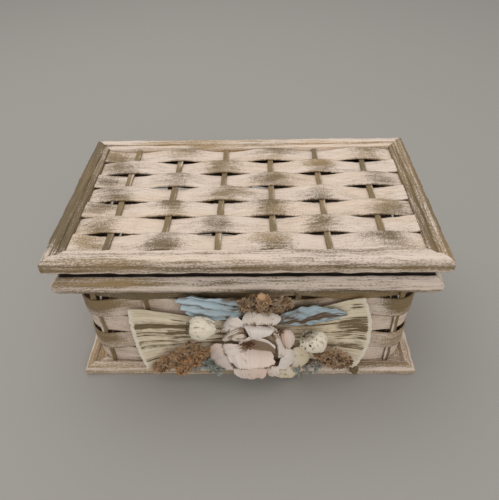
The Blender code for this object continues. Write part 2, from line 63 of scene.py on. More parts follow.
# How finely the surfaces are divided: stations along a piece, then points across it
LID_SPLINT_GRID = (280, 17)
WALL_SPLINT_GRID = (600, 13)
STICK_GRID = (40, 16)
HUSK_GRID = (181, 121)
LEAF_GRID = (100, 61)
BUD_PETAL_GRID = (34, 25)
ROSE_PETAL_GRID = (50, 47)
RAIL_OUTLINE_STEP = 1.0 * MM
RAIL_STATION_STEP = 1.7 * MM

HUSK_THICKNESS = 0.6 * MM
LEAF_THICKNESS = 0.7 * MM
BUD_PETAL_THICKNESS = 0.55 * MM
ROSE_PETAL_THICKNESS = 0.5 * MM


# Places that come from the frame

def count_nodes(prefix):
    """How many of the frame's nodes have names that start with the prefix."""
    return sum(name.startswith(prefix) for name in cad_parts)


def middle_x(name):
    """X of the middle of a node's box."""
    low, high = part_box(name)
    return (low.x + high.x) / 2


STAKE_LOW, STAKE_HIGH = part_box("wall_stake_01")
HALF_DEPTH = -(STAKE_LOW.y + STAKE_HIGH.y) / 2
WEAVE_HALF = -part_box("wall_splint_1")[0].y - HALF_DEPTH
HALF_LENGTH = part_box("wall_splint_1")[1].x - WEAVE_HALF
WALL_FACE_Y = -(HALF_DEPTH + WEAVE_HALF)
STAKE_COUNT = count_nodes("wall_stake_")
WALL_ROWS = count_nodes("wall_splint_")
LID_ROWS = count_nodes("lid_splint_")
LID_STICKS = count_nodes("lid_stick_")


def colour_setting(name, description, red, green, blue):
    """A colour setting whose default is given as the eye sees it, from 0 to 255."""
    return FloatVectorProperty(
        name=name, description=description, default=linear(red, green, blue), size=3, min=0, max=1,
        subtype="COLOR",
    )


def length_setting(name, description, millimetres):
    """A length setting whose default is given in millimetres."""
    return FloatProperty(name=name, description=description, default=millimetres * MM, unit="LENGTH")


def linear(red, green, blue):
    """A display colour from 0 to 255 as a linear colour: ((c + 0.055) / 1.055) to the power 2.4."""
    share = np.array([red, green, blue]) / 255
    curve = np.where(share > 0.04045, ((share + 0.055) / 1.055) ** 2.4, share / 12.92)
    return tuple(float(part) for part in curve)


# Settings

class WeaveSettings(bpy.types.PropertyGroup):
    """Sizes of the splints, stakes and sticks."""

    splint_thickness: length_setting("Splint thickness", "Thickness of a woven splint", 1.0)
    corner_radius: length_setting("Corner radius", "Radius of the wall's corners in plan", 18.0)
    stake_width: length_setting("Stake width", "Width of a stake or stick", 4.8)
    stake_thickness: length_setting("Stake thickness", "Thickness of a stake or stick", 2.2)
    edge_ravel: length_setting("Edge ravel", "How far a splint's edges wander", 0.35)
    grain_depth: length_setting("Grain depth", "Height of the grain's ridges", 0.08)


class FinishSettings(bpy.types.PropertyGroup):
    """Colours of the paint layers and of the dried flowers."""

    wash: colour_setting("Wash", "Pale paint brushed over the wood", 236, 219, 205)
    underpaint: colour_setting("Underpaint", "Brown paint under the wash", 124, 108, 82)
    # Unpainted wood darkened to near-black brown: painted shade in the gap between the lid and the rim
    bare_in_shade: colour_setting("Bare wood", "Dark unpainted wood in the gap under the lid", 46, 36, 28)
    ochre: colour_setting("Ochre", "Golden streaks in the paint", 190, 158, 110)
    husk: colour_setting("Husk", "Dried husk", 238, 224, 198)
    husk_streak: colour_setting("Husk streak", "Brown brushed into the husk's folds", 122, 104, 76)
    husk_rim: colour_setting("Husk rim", "Pale curled rims of the husk", 242, 232, 214)
    leaf: colour_setting("Leaf", "Grey-blue paint on the leaves", 168, 185, 192)
    # Painted highlight: the paler blue laid on the leaves' raised ribs
    leaf_rib_highlight: colour_setting("Leaf light", "Paler blue on the leaves' ribs", 206, 222, 232)
    leaf_vein: colour_setting("Leaf vein", "Brown that shows on the veins", 104, 84, 62)
    lichen: colour_setting("Lichen", "Grey-blue lichen under the rose", 160, 166, 160)
    bud: colour_setting("Bud", "Cream petals of the buds", 244, 234, 214)
    bud_shade: colour_setting("Bud shade", "Brown in the buds' folds", 150, 128, 92)
    calyx: colour_setting("Calyx", "Dark brown bits at the buds' bases", 92, 72, 48)
    petal: colour_setting("Petal", "Pink-cream petals of the rose", 240, 229, 221)
    petal_warm: colour_setting("Petal warmth", "Pink laid over some petals", 255, 232, 218)
    petal_cream: colour_setting("Petal cream", "Yellow-green laid over some petals", 244, 240, 212)
    # Petal shade browns the petals' ragged rims and also paints the shade inside the hollow
    petal_shade: colour_setting("Petal shade", "Brown brushed on the petals' rims", 150, 128, 106)
    stamen: colour_setting("Stamen", "Dry red-brown stamens", 110, 70, 50)
    sprig: colour_setting("Sprig", "Dried brown florets", 180, 154, 126)
    sprig_dark: colour_setting("Sprig dark", "Darkest of the dried florets", 84, 62, 44)
    sprig_orange: colour_setting("Sprig orange", "Orange-brown florets", 212, 162, 112)
    floor: colour_setting("Floor", "Plain floor", 166, 163, 158)


class StageSettings(bpy.types.PropertyGroup):
    """The camera's place and angles, worked out from the photograph, and the light."""

    camera_x: length_setting("Camera X", "Camera's place across the box", 11.7)
    camera_y: length_setting("Camera Y", "Camera's place in front of the box", -326.3)
    camera_z: length_setting("Camera Z", "Camera's height above the floor", 362.0)
    pitch: FloatProperty(name="Pitch", description="How far the camera looks down",
                         default=math.radians(41.86), subtype="ANGLE")
    yaw: FloatProperty(name="Yaw", description="How far the camera turns to the left",
                       default=math.radians(1.91), subtype="ANGLE")
    roll: FloatProperty(name="Roll", description="How far the camera leans",
                        default=math.radians(1.63), subtype="ANGLE")
    focal_length: FloatProperty(name="Focal length", description="Lens in millimetres", default=34.92)
    floor_half: FloatProperty(name="Floor half size", description="Half the floor's width",
                              default=4.0, unit="LENGTH")


# Surface arithmetic

def waves(x, y, longest, shortest, seed, count=12):
    """Sum of sines of random heading, phase and wavelength, scaled to a spread of about one."""
    rng = np.random.default_rng(seed)
    lengths = rng.uniform(shortest, longest, count)
    headings = rng.uniform(0, math.pi, count)
    phases = rng.uniform(0, 2 * math.pi, count)
    total = 0.0
    for length, heading, phase in zip(lengths, headings, phases):
        forward = x * math.cos(heading) + y * math.sin(heading)
        total = total + np.sin(forward * 2 * math.pi / length + phase)
    return total / math.sqrt(count / 2)


def grain(along, across, seed):
    """Ridges along the wood: sines across the grain whose phase drifts slowly along it."""
    return waves(across, along * 0.04, 3.2 * MM, 0.9 * MM, seed)


def bump_at(x, middle, spread):
    """A bell curve: exp(-((x - middle) / spread) squared)."""
    return np.exp(-(((x - middle) / spread) ** 2))


def bells(x, *shapes):
    """Sum of bell curves over x, each given as its height, middle and spread."""
    return sum(height * bump_at(x, middle, spread) for height, middle, spread in shapes)


def share_grid(size, first=0.0, side=-1.0):
    """Two shares for each point of a sheet: from first to 1 along it, and from side to 1 across."""
    return np.meshgrid(np.linspace(first, 1, size[0]), np.linspace(side, 1, size[1]), indexing="ij")


def girth(out, z):
    """Distances along a closed outline from its first point, once round to that point again."""
    steps = np.hypot(np.diff(np.append(out, out[0])), np.diff(np.append(z, z[0])))
    return np.append(0, np.cumsum(steps))


def unit(vectors):
    """Vectors divided by their lengths."""
    return vectors / np.maximum(np.linalg.norm(vectors, axis=-1, keepdims=True), 1e-12)


def grid_normals(grid):
    """Unit normals of a grid of points: the cross product of its two directions."""
    return unit(np.cross(np.gradient(grid, axis=0), np.gradient(grid, axis=1)))


def tube_faces(stations, around, ring):
    """Quads between cross-sections, as corner indices, and their station and section numbers."""
    i, k = np.meshgrid(np.arange(stations if ring else stations - 1), np.arange(around), indexing="ij")
    station = np.stack([i, i + 1, i + 1, i], axis=-1).reshape(-1, 4)
    section = np.stack([k, k, k + 1, k + 1], axis=-1).reshape(-1, 4)
    faces = (station % stations) * around + section % around
    return faces, station, section


def volume_sign(points, faces):
    """Sign of the volume that the faces enclose: the sum of each triangle's triple product."""
    a, b, c, d = (points[faces[:, corner]] for corner in range(4))
    triple = np.einsum("ij,ij->i", a, np.cross(b, c)) + np.einsum("ij,ij->i", a, np.cross(c, d))
    return 1 if triple.sum() >= 0 else -1


class Shell:
    """Closed meshes gathered into one piece, with grain coordinates and weights for the paint."""

    def __init__(self):
        self.points = []
        self.faces = []
        self.coordinates = []
        self.weights = {}
        self.count = 0

    def add_tube(self, sections, along, across, weights, ring=False, flat_ends=False):
        """Add cross-sections (stations, around, 3) carried along a path, closed at both ends.

        along has a value for each station and across for each point around, both with one more
        where they wrap; weights are arrays of (stations, around)."""
        stations, around = sections.shape[:2]
        points = sections.reshape(-1, 3)
        quads, station, section = tube_faces(stations, around, ring)
        turn = volume_sign(points, quads)
        uv = np.stack([along[station], across[section]], axis=-1)
        faces = [quads[:, ::turn] + self.count]
        coordinates = [uv[:, ::turn].reshape(-1, 2)]
        if not ring:
            last = (stations - 1) * around
            for first, order in ((0, turn), (last, -turn)):
                if flat_ends:
                    k = np.arange(around // 2 - 1)
                    cap = np.stack([k, k + 1, around - 2 - k, around - 1 - k], axis=-1)
                else:
                    cap = np.arange(around)[None, :]
                cap = cap[:, ::order]
                faces.append(cap + first + self.count)
                place = np.stack([np.full(cap.shape, along[first // around]), across[cap]], axis=-1)
                coordinates.append(place.reshape(-1, 2))
        self.points.append(points)
        self.faces.extend(faces)
        self.coordinates.extend(coordinates)
        for name, values in weights.items():
            spread = np.broadcast_to(values, (stations, around)).ravel()
            self.weights.setdefault(name, []).append(spread)
        self.count += len(points)

    def add_sheet(self, middle, thickness, along, across, weights, ring=False, normal=None):
        """Add a thin sheet about a grid of middle points: its front side, then its back side."""
        if normal is None:
            normal = grid_normals(middle)
        half = normal * thickness / 2
        sections = np.concatenate([middle + half, (middle - half)[:, ::-1]], axis=1)
        both = np.concatenate([across, across[::-1], across[:1]])
        doubled = {}
        for name, values in weights.items():
            spread = np.broadcast_to(values, middle.shape[:2])
            doubled[name] = np.concatenate([spread, spread[:, ::-1]], axis=1)
        self.add_tube(sections, along, both, doubled, ring, flat_ends=True)

    def finish(self, name, material, replaced, slot, sharp=50.0):
        """Put the arrays into a mesh, and hang the piece on the box in place of its nodes."""
        mesh = bpy.data.meshes.new(name)
        faces = [face for group in self.faces for face in group.tolist()]
        mesh.from_pydata(np.concatenate(self.points).tolist(), [], faces)
        layer = mesh.uv_layers.new(name="grain")
        layer.data.foreach_set("uv", np.concatenate(self.coordinates).astype(np.float32).ravel())
        for label, parts in self.weights.items():
            attribute = mesh.attributes.new(label, "FLOAT", "POINT")
            attribute.data.foreach_set("value", np.concatenate(parts).astype(np.float32))
        mesh.shade_smooth()
        mesh.set_sharp_from_angle(angle=math.radians(sharp))
        mesh.materials.append(material)
        piece = bpy.data.objects.new(name, mesh)
        bpy.context.scene.collection.objects.link(piece)
        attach(piece, "root")
        if replaced:
            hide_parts(*replaced)
        return piece


# Shader building

# Where a Mix node keeps its factor, its two colours and its colour result
MIX_COLOUR_INPUTS = (0, 6, 7)
MIX_COLOUR_RESULT = 2


def node(tree, kind, **settings):
    """One shader node with its settings."""
    made = tree.nodes.new(kind)
    for name, value in settings.items():
        setattr(made, name, value)
    return made


def feed(tree, socket, source):
    """Give a socket its source: another socket, or a plain value."""
    if isinstance(source, bpy.types.NodeSocket):
        tree.links.new(source, socket)
    else:
        socket.default_value = source


def calculate(tree, operation, first, second=0.0, third=0.0, clamp=False):
    """A Math node of two or three inputs."""
    made = node(tree, "ShaderNodeMath", operation=operation, use_clamp=clamp)
    for socket, source in zip(made.inputs, (first, second, third)):
        feed(tree, socket, source)
    return made.outputs[0]


def mixed(tree, share, first, second, blend="MIX"):
    """A Mix node of two colours."""
    made = node(tree, "ShaderNodeMix", data_type="RGBA", blend_type=blend)
    share_socket, first_socket, second_socket = (made.inputs[place] for place in MIX_COLOUR_INPUTS)
    feed(tree, share_socket, share)
    feed(tree, first_socket, first)
    feed(tree, second_socket, second)
    return made.outputs[MIX_COLOUR_RESULT]


def noise(tree, vector, stretch, detail=3.0, roughness=0.55):
    """Noise over a vector that is first multiplied by the stretch, in waves to the metre."""
    scaled = node(tree, "ShaderNodeVectorMath", operation="MULTIPLY")
    feed(tree, scaled.inputs[0], vector)
    scaled.inputs[1].default_value = stretch
    made = node(tree, "ShaderNodeTexNoise")
    feed(tree, made.inputs["Vector"], scaled.outputs[0])
    made.inputs["Scale"].default_value = 1.0
    made.inputs["Detail"].default_value = detail
    made.inputs["Roughness"].default_value = roughness
    return made.outputs["Fac"]


def ramp(tree, value, low, high):
    """A smooth step from 0 at low to 1 at high."""
    made = node(tree, "ShaderNodeMapRange", interpolation_type="SMOOTHSTEP")
    feed(tree, made.inputs["Value"], value)
    feed(tree, made.inputs["From Min"], low)
    feed(tree, made.inputs["From Max"], high)
    return made.outputs["Result"]


def centred(tree, value, gain=1.0):
    """A value less one half, times a gain."""
    return calculate(tree, "MULTIPLY", calculate(tree, "SUBTRACT", value, 0.5), gain)


def tinted(tree, colour, tint):
    """A colour multiplied by a plain tint."""
    return mixed(tree, 1.0, colour, solid(tint), "MULTIPLY")


def weight(tree, attribute):
    """One of a piece's own weights."""
    return node(tree, "ShaderNodeAttribute", attribute_name=attribute).outputs["Fac"]


def new_material(name):
    """A material, its node tree and its shader."""
    material = bpy.data.materials.new(name)
    material.use_nodes = True
    return material, material.node_tree, material.node_tree.nodes["Principled BSDF"]


def add_relief(tree, shader, height, distance):
    """Let a height from 0 to 1 bend the shader's normal, as a relief of that distance."""
    relief = node(tree, "ShaderNodeBump")
    relief.inputs["Strength"].default_value = 1.0
    relief.inputs["Distance"].default_value = distance
    feed(tree, relief.inputs["Height"], height)
    feed(tree, shader.inputs["Normal"], relief.outputs["Normal"])


def new_group(name, colours, values):
    """A shader node group that takes the grain map, some colours and some values, and gives a
    colour, a roughness and a height; returns the tree, what it is given and where it ends."""
    tree = bpy.data.node_groups.new(name, "ShaderNodeTree")
    tree.interface.new_socket("Grain", in_out="INPUT", socket_type="NodeSocketVector")
    for label in colours:
        tree.interface.new_socket(label, in_out="INPUT", socket_type="NodeSocketColor")
    for label in values:
        tree.interface.new_socket(label, in_out="INPUT", socket_type="NodeSocketFloat")
    tree.interface.new_socket("Color", in_out="OUTPUT", socket_type="NodeSocketColor")
    for label in ("Roughness", "Height"):
        tree.interface.new_socket(label, in_out="OUTPUT", socket_type="NodeSocketFloat")
    return tree, tree.nodes.new("NodeGroupInput").outputs, tree.nodes.new("NodeGroupOutput").inputs


def dry_brush_group():
    """Pale wash dry-brushed along the grain over brown: streaks, blotches and specks where the
    cover is thin, ochre in the brown, and the paint's own thickness as height."""
    name = "Dry brushed wash"
    if name in bpy.data.node_groups:
        return bpy.data.node_groups[name]
    tree, given, leave = new_group(
        name, ("Wash", "Underpaint", "Ochre"), ("Cover", "Gold", "Streak", "Speck"))
    fine = noise(tree, given["Grain"], (70.0, 900.0, 1.0), 3.0, 0.6)
    broad = noise(tree, given["Grain"], (16.0, 230.0, 1.0), 2.0)
    blotch = noise(tree, given["Grain"], (80.0, 120.0, 1.0), 3.0, 0.6)
    speck = noise(tree, given["Grain"], (900.0, 1100.0, 1.0), 3.0, 0.7)
    drift = noise(tree, given["Grain"], (9.0, 30.0, 1.0), 2.0)
    lines = centred(tree, fine, given["Streak"])
    bands = centred(tree, broad, given["Streak"])
    dots = centred(tree, speck, given["Speck"])
    patches = centred(tree, blotch, 0.7)
    tone = calculate(tree, "ADD", given["Cover"], calculate(tree, "ADD", bands, patches))
    soft = ramp(tree, tone, 0.05, 0.95)
    crisp = ramp(tree, calculate(tree, "ADD", tone, calculate(tree, "ADD", lines, dots)), 0.30, 0.62)
    mask = calculate(tree, "MULTIPLY_ADD", crisp, 0.58, calculate(tree, "MULTIPLY", soft, 0.42))
    deep = tinted(tree, given["Underpaint"], (0.72, 0.69, 0.64))
    brown = mixed(tree, ramp(tree, fine, 0.40, 0.60), deep, given["Underpaint"])
    gold_share = calculate(tree, "MULTIPLY", given["Gold"], ramp(tree, drift, 0.3, 0.6), clamp=True)
    brown = mixed(tree, gold_share, brown, given["Ochre"])
    dull = tinted(tree, given["Wash"], (0.86, 0.84, 0.81))
    pale = mixed(tree, ramp(tree, fine, 0.35, 0.62), dull, given["Wash"])
    warm = tinted(tree, pale, (0.98, 0.95, 0.90))
    pale = mixed(tree, ramp(tree, drift, 0.4, 0.65), pale, warm)
    feed(tree, leave["Color"], mixed(tree, mask, brown, pale))
    feed(tree, leave["Roughness"], calculate(tree, "MULTIPLY_ADD", mask, 0.2, 0.6))
    feed(tree, leave["Height"],
         calculate(tree, "MULTIPLY_ADD", mask, 0.6, calculate(tree, "MULTIPLY", fine, 0.6)))
    return tree


def fibre_group():
    """Dry plant fibre: fine lines from root to tip, brown in the folds, paler and darker patches."""
    name = "Dry fibre"
    if name in bpy.data.node_groups:
        return bpy.data.node_groups[name]
    tree, given, leave = new_group(name, ("Base", "Stain"), ("Stain Share", "Fineness", "Streak"))
    scaled = node(tree, "ShaderNodeVectorMath", operation="SCALE")
    feed(tree, scaled.inputs[0], given["Grain"])
    feed(tree, scaled.inputs["Scale"], given["Fineness"])
    lines = noise(tree, scaled.outputs[0], (45.0, 900.0, 1.0), 3.0, 0.6)
    folds = noise(tree, scaled.outputs[0], (30.0, 230.0, 1.0), 2.0)
    blotch = noise(tree, given["Grain"], (140.0, 160.0, 1.0), 4.0, 0.65)
    level = calculate(tree, "ADD", centred(tree, lines, given["Streak"]),
                      centred(tree, folds, given["Streak"]))
    level = calculate(tree, "ADD", level, centred(tree, blotch))
    stain = ramp(tree, calculate(tree, "ADD", level, given["Stain Share"]), 0.36, 0.72)
    pale = calculate(tree, "ADD", centred(tree, lines, given["Streak"]), 0.5)
    dull = tinted(tree, given["Base"], (0.84, 0.81, 0.76))
    base = mixed(tree, ramp(tree, pale, 0.30, 0.55), dull, given["Base"])
    feed(tree, leave["Color"], mixed(tree, stain, base, given["Stain"]))
    feed(tree, leave["Roughness"], calculate(tree, "MULTIPLY_ADD", lines, 0.2, 0.62))
    feed(tree, leave["Height"], lines)
    return tree


def painted(name, group_tree, fixed, from_attributes, bump, tint=None):
    """A material that reads the piece's grain map and weights through a shared effect."""
    if name in bpy.data.materials:
        return bpy.data.materials[name]
    material, tree, shader = new_material(name)
    effect = node(tree, "ShaderNodeGroup", node_tree=group_tree)
    feed(tree, effect.inputs["Grain"], node(tree, "ShaderNodeUVMap", uv_map="grain").outputs["UV"])
    for label, value in fixed.items():
        feed(tree, effect.inputs[label], value)
    for label, attribute in from_attributes.items():
        feed(tree, effect.inputs[label], weight(tree, attribute))
    colour = effect.outputs["Color"]
    if tint:
        shade, attribute = tint
        colour = mixed(tree, weight(tree, attribute), colour, shade)
    feed(tree, shader.inputs["Base Color"], colour)
    feed(tree, shader.inputs["Roughness"], effect.outputs["Roughness"])
    add_relief(tree, shader, effect.outputs["Height"], bump)
    shader.inputs["Specular IOR Level"].default_value = 0.3
    return material


def solid(colour):
    """A setting's colour with full alpha."""
    return (*colour, 1.0)


def wash_material(context, name, streak, speck, bump, tint=None):
    """Whitewash over brown, as on the splints, the sticks and the rails."""
    finish = context.scene.box_finish
    return painted(
        name, dry_brush_group(),
        {"Wash": solid(finish.wash), "Underpaint": solid(finish.underpaint),
         "Ochre": solid(finish.ochre), "Streak": streak, "Speck": speck},
        {"Cover": "cover", "Gold": "gold"}, bump, tint,
    )


def fibre_material(name, base, stain, fineness, streak, bump, tint=None):
    """Dry plant matter, as on the husk, the leaves, the buds and the rose."""
    return painted(
        name, fibre_group(),
        {"Base": solid(base), "Stain": solid(stain), "Fineness": fineness, "Streak": streak},
        {"Stain Share": "stain"}, bump, tint,
    )


# The wall's plan

def wall_perimeter(radius):
    """Length once round the middle of the wall: the straights and one full circle."""
    return 4 * (HALF_LENGTH + HALF_DEPTH) - 8 * radius + 2 * math.pi * radius


def wall_places(distance, radius):
    """Points and outward normals on a rectangle with round corners, a distance from the front's
    middle, anticlockwise from above: each straight is walked, then each quarter circle turned."""
    long_run = 2 * (HALF_LENGTH - radius)
    short_run = 2 * (HALF_DEPTH - radius)
    arc = math.pi * radius / 2
    rest = np.mod(distance, wall_perimeter(radius))
    x = np.zeros_like(rest)
    y = np.full_like(rest, -HALF_DEPTH)
    heading = np.zeros_like(rest)
    for run, turn in zip(
        (long_run / 2, short_run, long_run, short_run, long_run / 2), (arc, arc, arc, arc, 0.0)
    ):
        step = np.clip(rest, 0, run)
        x += step * np.cos(heading)
        y += step * np.sin(heading)
        rest = rest - step
        angle = np.clip(rest, 0, turn) / radius
        after = heading + angle
        x += radius * (np.sin(after) - np.sin(heading))
        y += radius * (np.cos(heading) - np.cos(after))
        heading = after
        rest = np.maximum(rest - turn, 0.0)
    return np.stack([x, y], axis=-1), np.stack([np.sin(heading), -np.cos(heading)], axis=-1)


# Pieces

class PieceOperator:
    """What the operators of this add-on share."""

    bl_options = {"REGISTER", "UNDO"}


TOP_ROW_BROWN = 0.62
CORNER_BROWN = 0.62
EDGE_WEAR = 1.0 * MM


def splint_material(context):
    """The wash on the lid's and the wall's splints."""
    return wash_material(context, "splint_paint", 0.55, 3.4, 0.16 * MM)


def splint_cover(distance, across, crests, width, seed):
    """Cover of the wash on a splint: thin where brown was brushed over each crest, thin again on
    the two edges, thick in between. Each crest's smudge has its own size, place and strength."""
    rng = np.random.default_rng(seed)
    cover = 0.84 + 0.06 * waves(distance, across * 3, 90 * MM, 30 * MM, seed)
    torn = 2 * MM * waves(distance, across * 2, 9 * MM, 2.5 * MM, seed + 50)
    for crest in crests:
        strength = rng.uniform(0.46, 0.80)
        spread = rng.uniform(10, 17) * MM
        middle = crest + rng.uniform(-4, 4) * MM
        lean = rng.uniform(-0.4, 0.4)
        patch = bump_at(distance + lean * across + torn, middle, spread)
        cover = cover - strength * patch * (0.6 + 0.4 * bump_at(across, rng.uniform(-7, 7) * MM, 7 * MM))
    edge = np.clip((np.abs(across) - width / 2 + EDGE_WEAR) / EDGE_WEAR, 0, 1)
    return cover - 0.25 * edge


class BOX_OT_lid_splints(PieceOperator, bpy.types.Operator):
    """Weave the lid's long splints over and under its sticks"""

    bl_idname = "woven_box.lid_splints"
    bl_label = "Lid splints"

    def execute(self, context):
        weave = context.scene.box_weave
        material = splint_material(context)
        first = middle_x("lid_stick_1")
        pitch = (middle_x(f"lid_stick_{LID_STICKS}") - first) / (LID_STICKS - 1)
        for row in range(LID_ROWS):
            low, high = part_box(f"lid_splint_{row + 1}")
            side = 1 if row % 2 else -1
            half_width = (high.y - low.y) / 2
            x = np.linspace(low.x, high.x, LID_SPLINT_GRID[0])
            v = np.linspace(-1, 1, LID_SPLINT_GRID[1])
            ravel = weave.edge_ravel * np.abs(waves(x, 0 * x, 40 * MM, 5 * MM, 300 + row))
            across = v[None, :] * (half_width - ravel[:, None])
            phase = math.pi * (x - first) / pitch
            reach = (low.z + high.z) / 2
            amplitude = (high.z - low.z - weave.splint_thickness) / 2
            height = reach + side * amplitude * np.cos(phase)
            sag = 0.25 * MM * (1 - v[None, :] ** 2) * np.ones_like(x)[:, None]
            ridges = weave.grain_depth * grain(x[:, None], across, 310 + row) * (1 - np.abs(v) ** 6)
            middle = np.stack([
                np.broadcast_to(x[:, None], across.shape),
                (low.y + high.y) / 2 + across,
                height[:, None] + sag + ridges,
            ], axis=-1)
            moved = {-1: -0.45, 0: -0.28, LID_STICKS - 1: LID_STICKS - 0.75}
            crests = [first + moved.get(k, k) * pitch for k in range(-1, LID_STICKS)
                      if (k % 2 == 1) == (side < 0)]
            cover = splint_cover(x[:, None], across, crests, 2 * half_width, 320 + row)
            gold = 0.25 + 0.2 * waves(x[:, None], across, 120 * MM, 60 * MM, 330 + row)
            shell = Shell()
            shell.add_sheet(middle, weave.splint_thickness, x + 0.61 * row, v * half_width,
                            {"cover": cover, "gold": gold})
            shell.finish(f"lid_splint_woven_{row + 1}", material, [f"lid_splint_{row + 1}"],
                         "whitewashed_splint")
        return {"FINISHED"}


class BOX_OT_wall_splints(PieceOperator, bpy.types.Operator):
    """Weave the body's splint rings round its stakes"""

    bl_idname = "woven_box.wall_splints"
    bl_label = "Wall splints"

    def execute(self, context):
        weave = context.scene.box_weave
        material = splint_material(context)
        perimeter = wall_perimeter(weave.corner_radius)
        pitch = perimeter / STAKE_COUNT
        stations, points = WALL_SPLINT_GRID
        distance = np.arange(stations) * perimeter / stations
        place, outward = wall_places(distance, weave.corner_radius)
        v = np.linspace(-1, 1, points)
        for row in range(WALL_ROWS):
            low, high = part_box(f"wall_splint_{row + 1}")
            side = -1 if row % 2 else 1
            half_width = (high.z - low.z) / 2
            amplitude = WEAVE_HALF - weave.splint_thickness / 2
            turns = 2 * math.pi * distance / perimeter
            ravel = weave.edge_ravel * np.abs(waves(40 * MM * np.cos(turns), 40 * MM * np.sin(turns),
                                                    30 * MM, 5 * MM, 400 + row))
            across = v[None, :] * (half_width - ravel[:, None])
            wave = side * amplitude * np.cos(math.pi * distance / pitch)
            ridges = weave.grain_depth * grain(0 * across, across, 410 + row) * (1 - np.abs(v) ** 6)
            out = wave[:, None] + ridges
            middle = np.concatenate([
                place[:, None, :] + outward[:, None, :] * out[..., None],
                ((low.z + high.z) / 2 + across)[..., None],
            ], axis=-1)
            crests = [k * pitch for k in range(STAKE_COUNT + 1) if (k % 2 == 0) == (side > 0)]
            cover = splint_cover(distance[:, None], across, crests, 2 * half_width, 420 + row) - 0.06
            gold = np.full_like(cover, 0.3)
            if row == WALL_ROWS - 1:
                cover = cover - TOP_ROW_BROWN
            if row == WALL_ROWS - 2:
                corners = bump_at(distance, 3 * pitch + 2 * MM, 17 * MM)
                corners = corners + bump_at(distance, perimeter - 3 * pitch + 2 * MM, 21 * MM)
                brushed = np.clip((across + half_width * 0.75) / half_width, 0, 1)
                cover = cover - CORNER_BROWN * corners[:, None] * brushed
            normal = np.concatenate([outward, np.zeros((stations, 1))], axis=1)
            normal = np.broadcast_to(normal[:, None, :], middle.shape)
            along = np.append(distance, perimeter) + 0.83 * row
            shell = Shell()
            shell.add_sheet(middle, weave.splint_thickness, along, v * half_width,
                            {"cover": cover, "gold": gold}, ring=True, normal=normal)
            shell.finish(f"wall_splint_woven_{row + 1}", material, [f"wall_splint_{row + 1}"],
                         "whitewashed_splint")
        return {"FINISHED"}


def stick_section(width, thickness):
    """A flat stick's cross-section: an ellipse squared off by its fourth root, with a groove
    along the middle of each flat side."""
    turn = np.linspace(0, 2 * math.pi, STICK_GRID[1], endpoint=False)
    across = np.sign(np.cos(turn)) * np.abs(np.cos(turn)) ** 0.6
    deep = np.sign(np.sin(turn)) * np.abs(np.sin(turn)) ** 0.6
    groove = 1 - 0.22 * bump_at(across, 0.0, 0.22)
    return across * width / 2, deep * groove * thickness / 2


def add_stick(shell, middle, side, out, length_axis, length, weave, seed, pale, pale_end=1.0):
    """Add one stick: its section carried along a straight line, with a slight wander. pale says
    where across the stick its pale stripe lies, how wide it is, both as shares of the width, and
    how strong; it stops at pale_end of the half length."""
    across, deep = stick_section(weave.stake_width, weave.stake_thickness)
    s = np.linspace(-1, 1, STICK_GRID[0])
    wander = 0.18 * MM * waves(s * length / 2, 0 * s, 60 * MM, 18 * MM, seed)
    width = 1 + 0.05 * waves(s * length / 2, 0 * s, 30 * MM, 8 * MM, seed + 1)
    sections = (
        middle + np.outer(s * length / 2, length_axis)[:, None, :]
        + (across[None, :] * width[:, None] + wander[:, None])[..., None] * side
        + deep[None, :, None] * out
    )
    top = np.clip(deep / deep.max(), 0, 1)
    place, spread, strength = pale
    stripe = bump_at(across / weave.stake_width, place, spread) * (top > 0.1)
    stripe = stripe * (s < pale_end)[:, None]
    cover = 0.08 + strength * stripe + 0.08 * waves(s, 0 * s, 0.5, 0.1, seed + 2)[:, None]
    shell.add_tube(sections, s * length / 2 + 0.37 * seed, girth(across, deep),
                   {"cover": cover, "gold": 0.25})


class BOX_OT_sticks(PieceOperator, bpy.types.Operator):
    """Make the wall's stakes and the lid's sticks, flat and grooved"""

    bl_idname = "woven_box.sticks"
    bl_label = "Stakes and sticks"

    def execute(self, context):
        weave = context.scene.box_weave
        material = wash_material(context, "stick_paint", 0.7, 0.8, 0.15 * MM)
        pitch = wall_perimeter(weave.corner_radius) / STAKE_COUNT
        place, outward = wall_places(np.arange(STAKE_COUNT) * pitch, weave.corner_radius)
        for index in range(STAKE_COUNT):
            name = f"wall_stake_{index + 1:02d}"
            low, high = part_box(name)
            out = np.append(outward[index], 0.0)
            middle = np.append(place[index], (low.z + high.z) / 2)
            shell = Shell()
            add_stick(shell, middle, np.cross(UP, out), out, UP, high.z - low.z, weave, 500 + index,
                      (-0.34, 0.26, 0.62), 1 - 2 / WALL_ROWS)
            shell.finish(f"wall_stake_grooved_{index + 1:02d}", material, [name], "brown_stick")
        for index in range(LID_STICKS):
            name = f"lid_stick_{index + 1}"
            low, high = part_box(name)
            middle = np.array((low + high) / 2)
            shell = Shell()
            add_stick(shell, middle, np.array([1.0, 0, 0]), UP, -FRONT, high.y - low.y,
                      weave, 540 + index, (0.40, 0.14, 0.34))
            shell.finish(f"lid_stick_grooved_{index + 1}", material, [name], "brown_stick")
        return {"FINISHED"}


# Rails

WALL_PLAY = 0.3 * MM
LID_RAIL_WIDTH = 15.1 * MM


def smooth_profile(corners, step, softness):
    """Points every step along a closed outline of (out, z) corners, each corner rounded by
    averaging over the softness: the outline is resampled and box-filtered along its length."""
    closed = np.array([*corners, corners[0]])
    lengths = np.append(0, np.cumsum(np.hypot(*np.diff(closed, axis=0).T)))
    count = int(round(lengths[-1] / step))
    fine = 8 * count
    at = np.arange(fine) * lengths[-1] / fine
    dense = np.stack([np.interp(at, lengths, closed[:, k]) for k in (0, 1)], axis=-1)
    window = max(1, int(round(softness / (lengths[-1] / fine))))
    kernel = np.ones(2 * window + 1) / (2 * window + 1)
    padded = np.concatenate([dense[-window:], dense, dense[:window]])
    rounded = np.stack([np.convolve(padded[:, k], kernel, mode="valid") for k in (0, 1)], axis=-1)
    return rounded[::8]


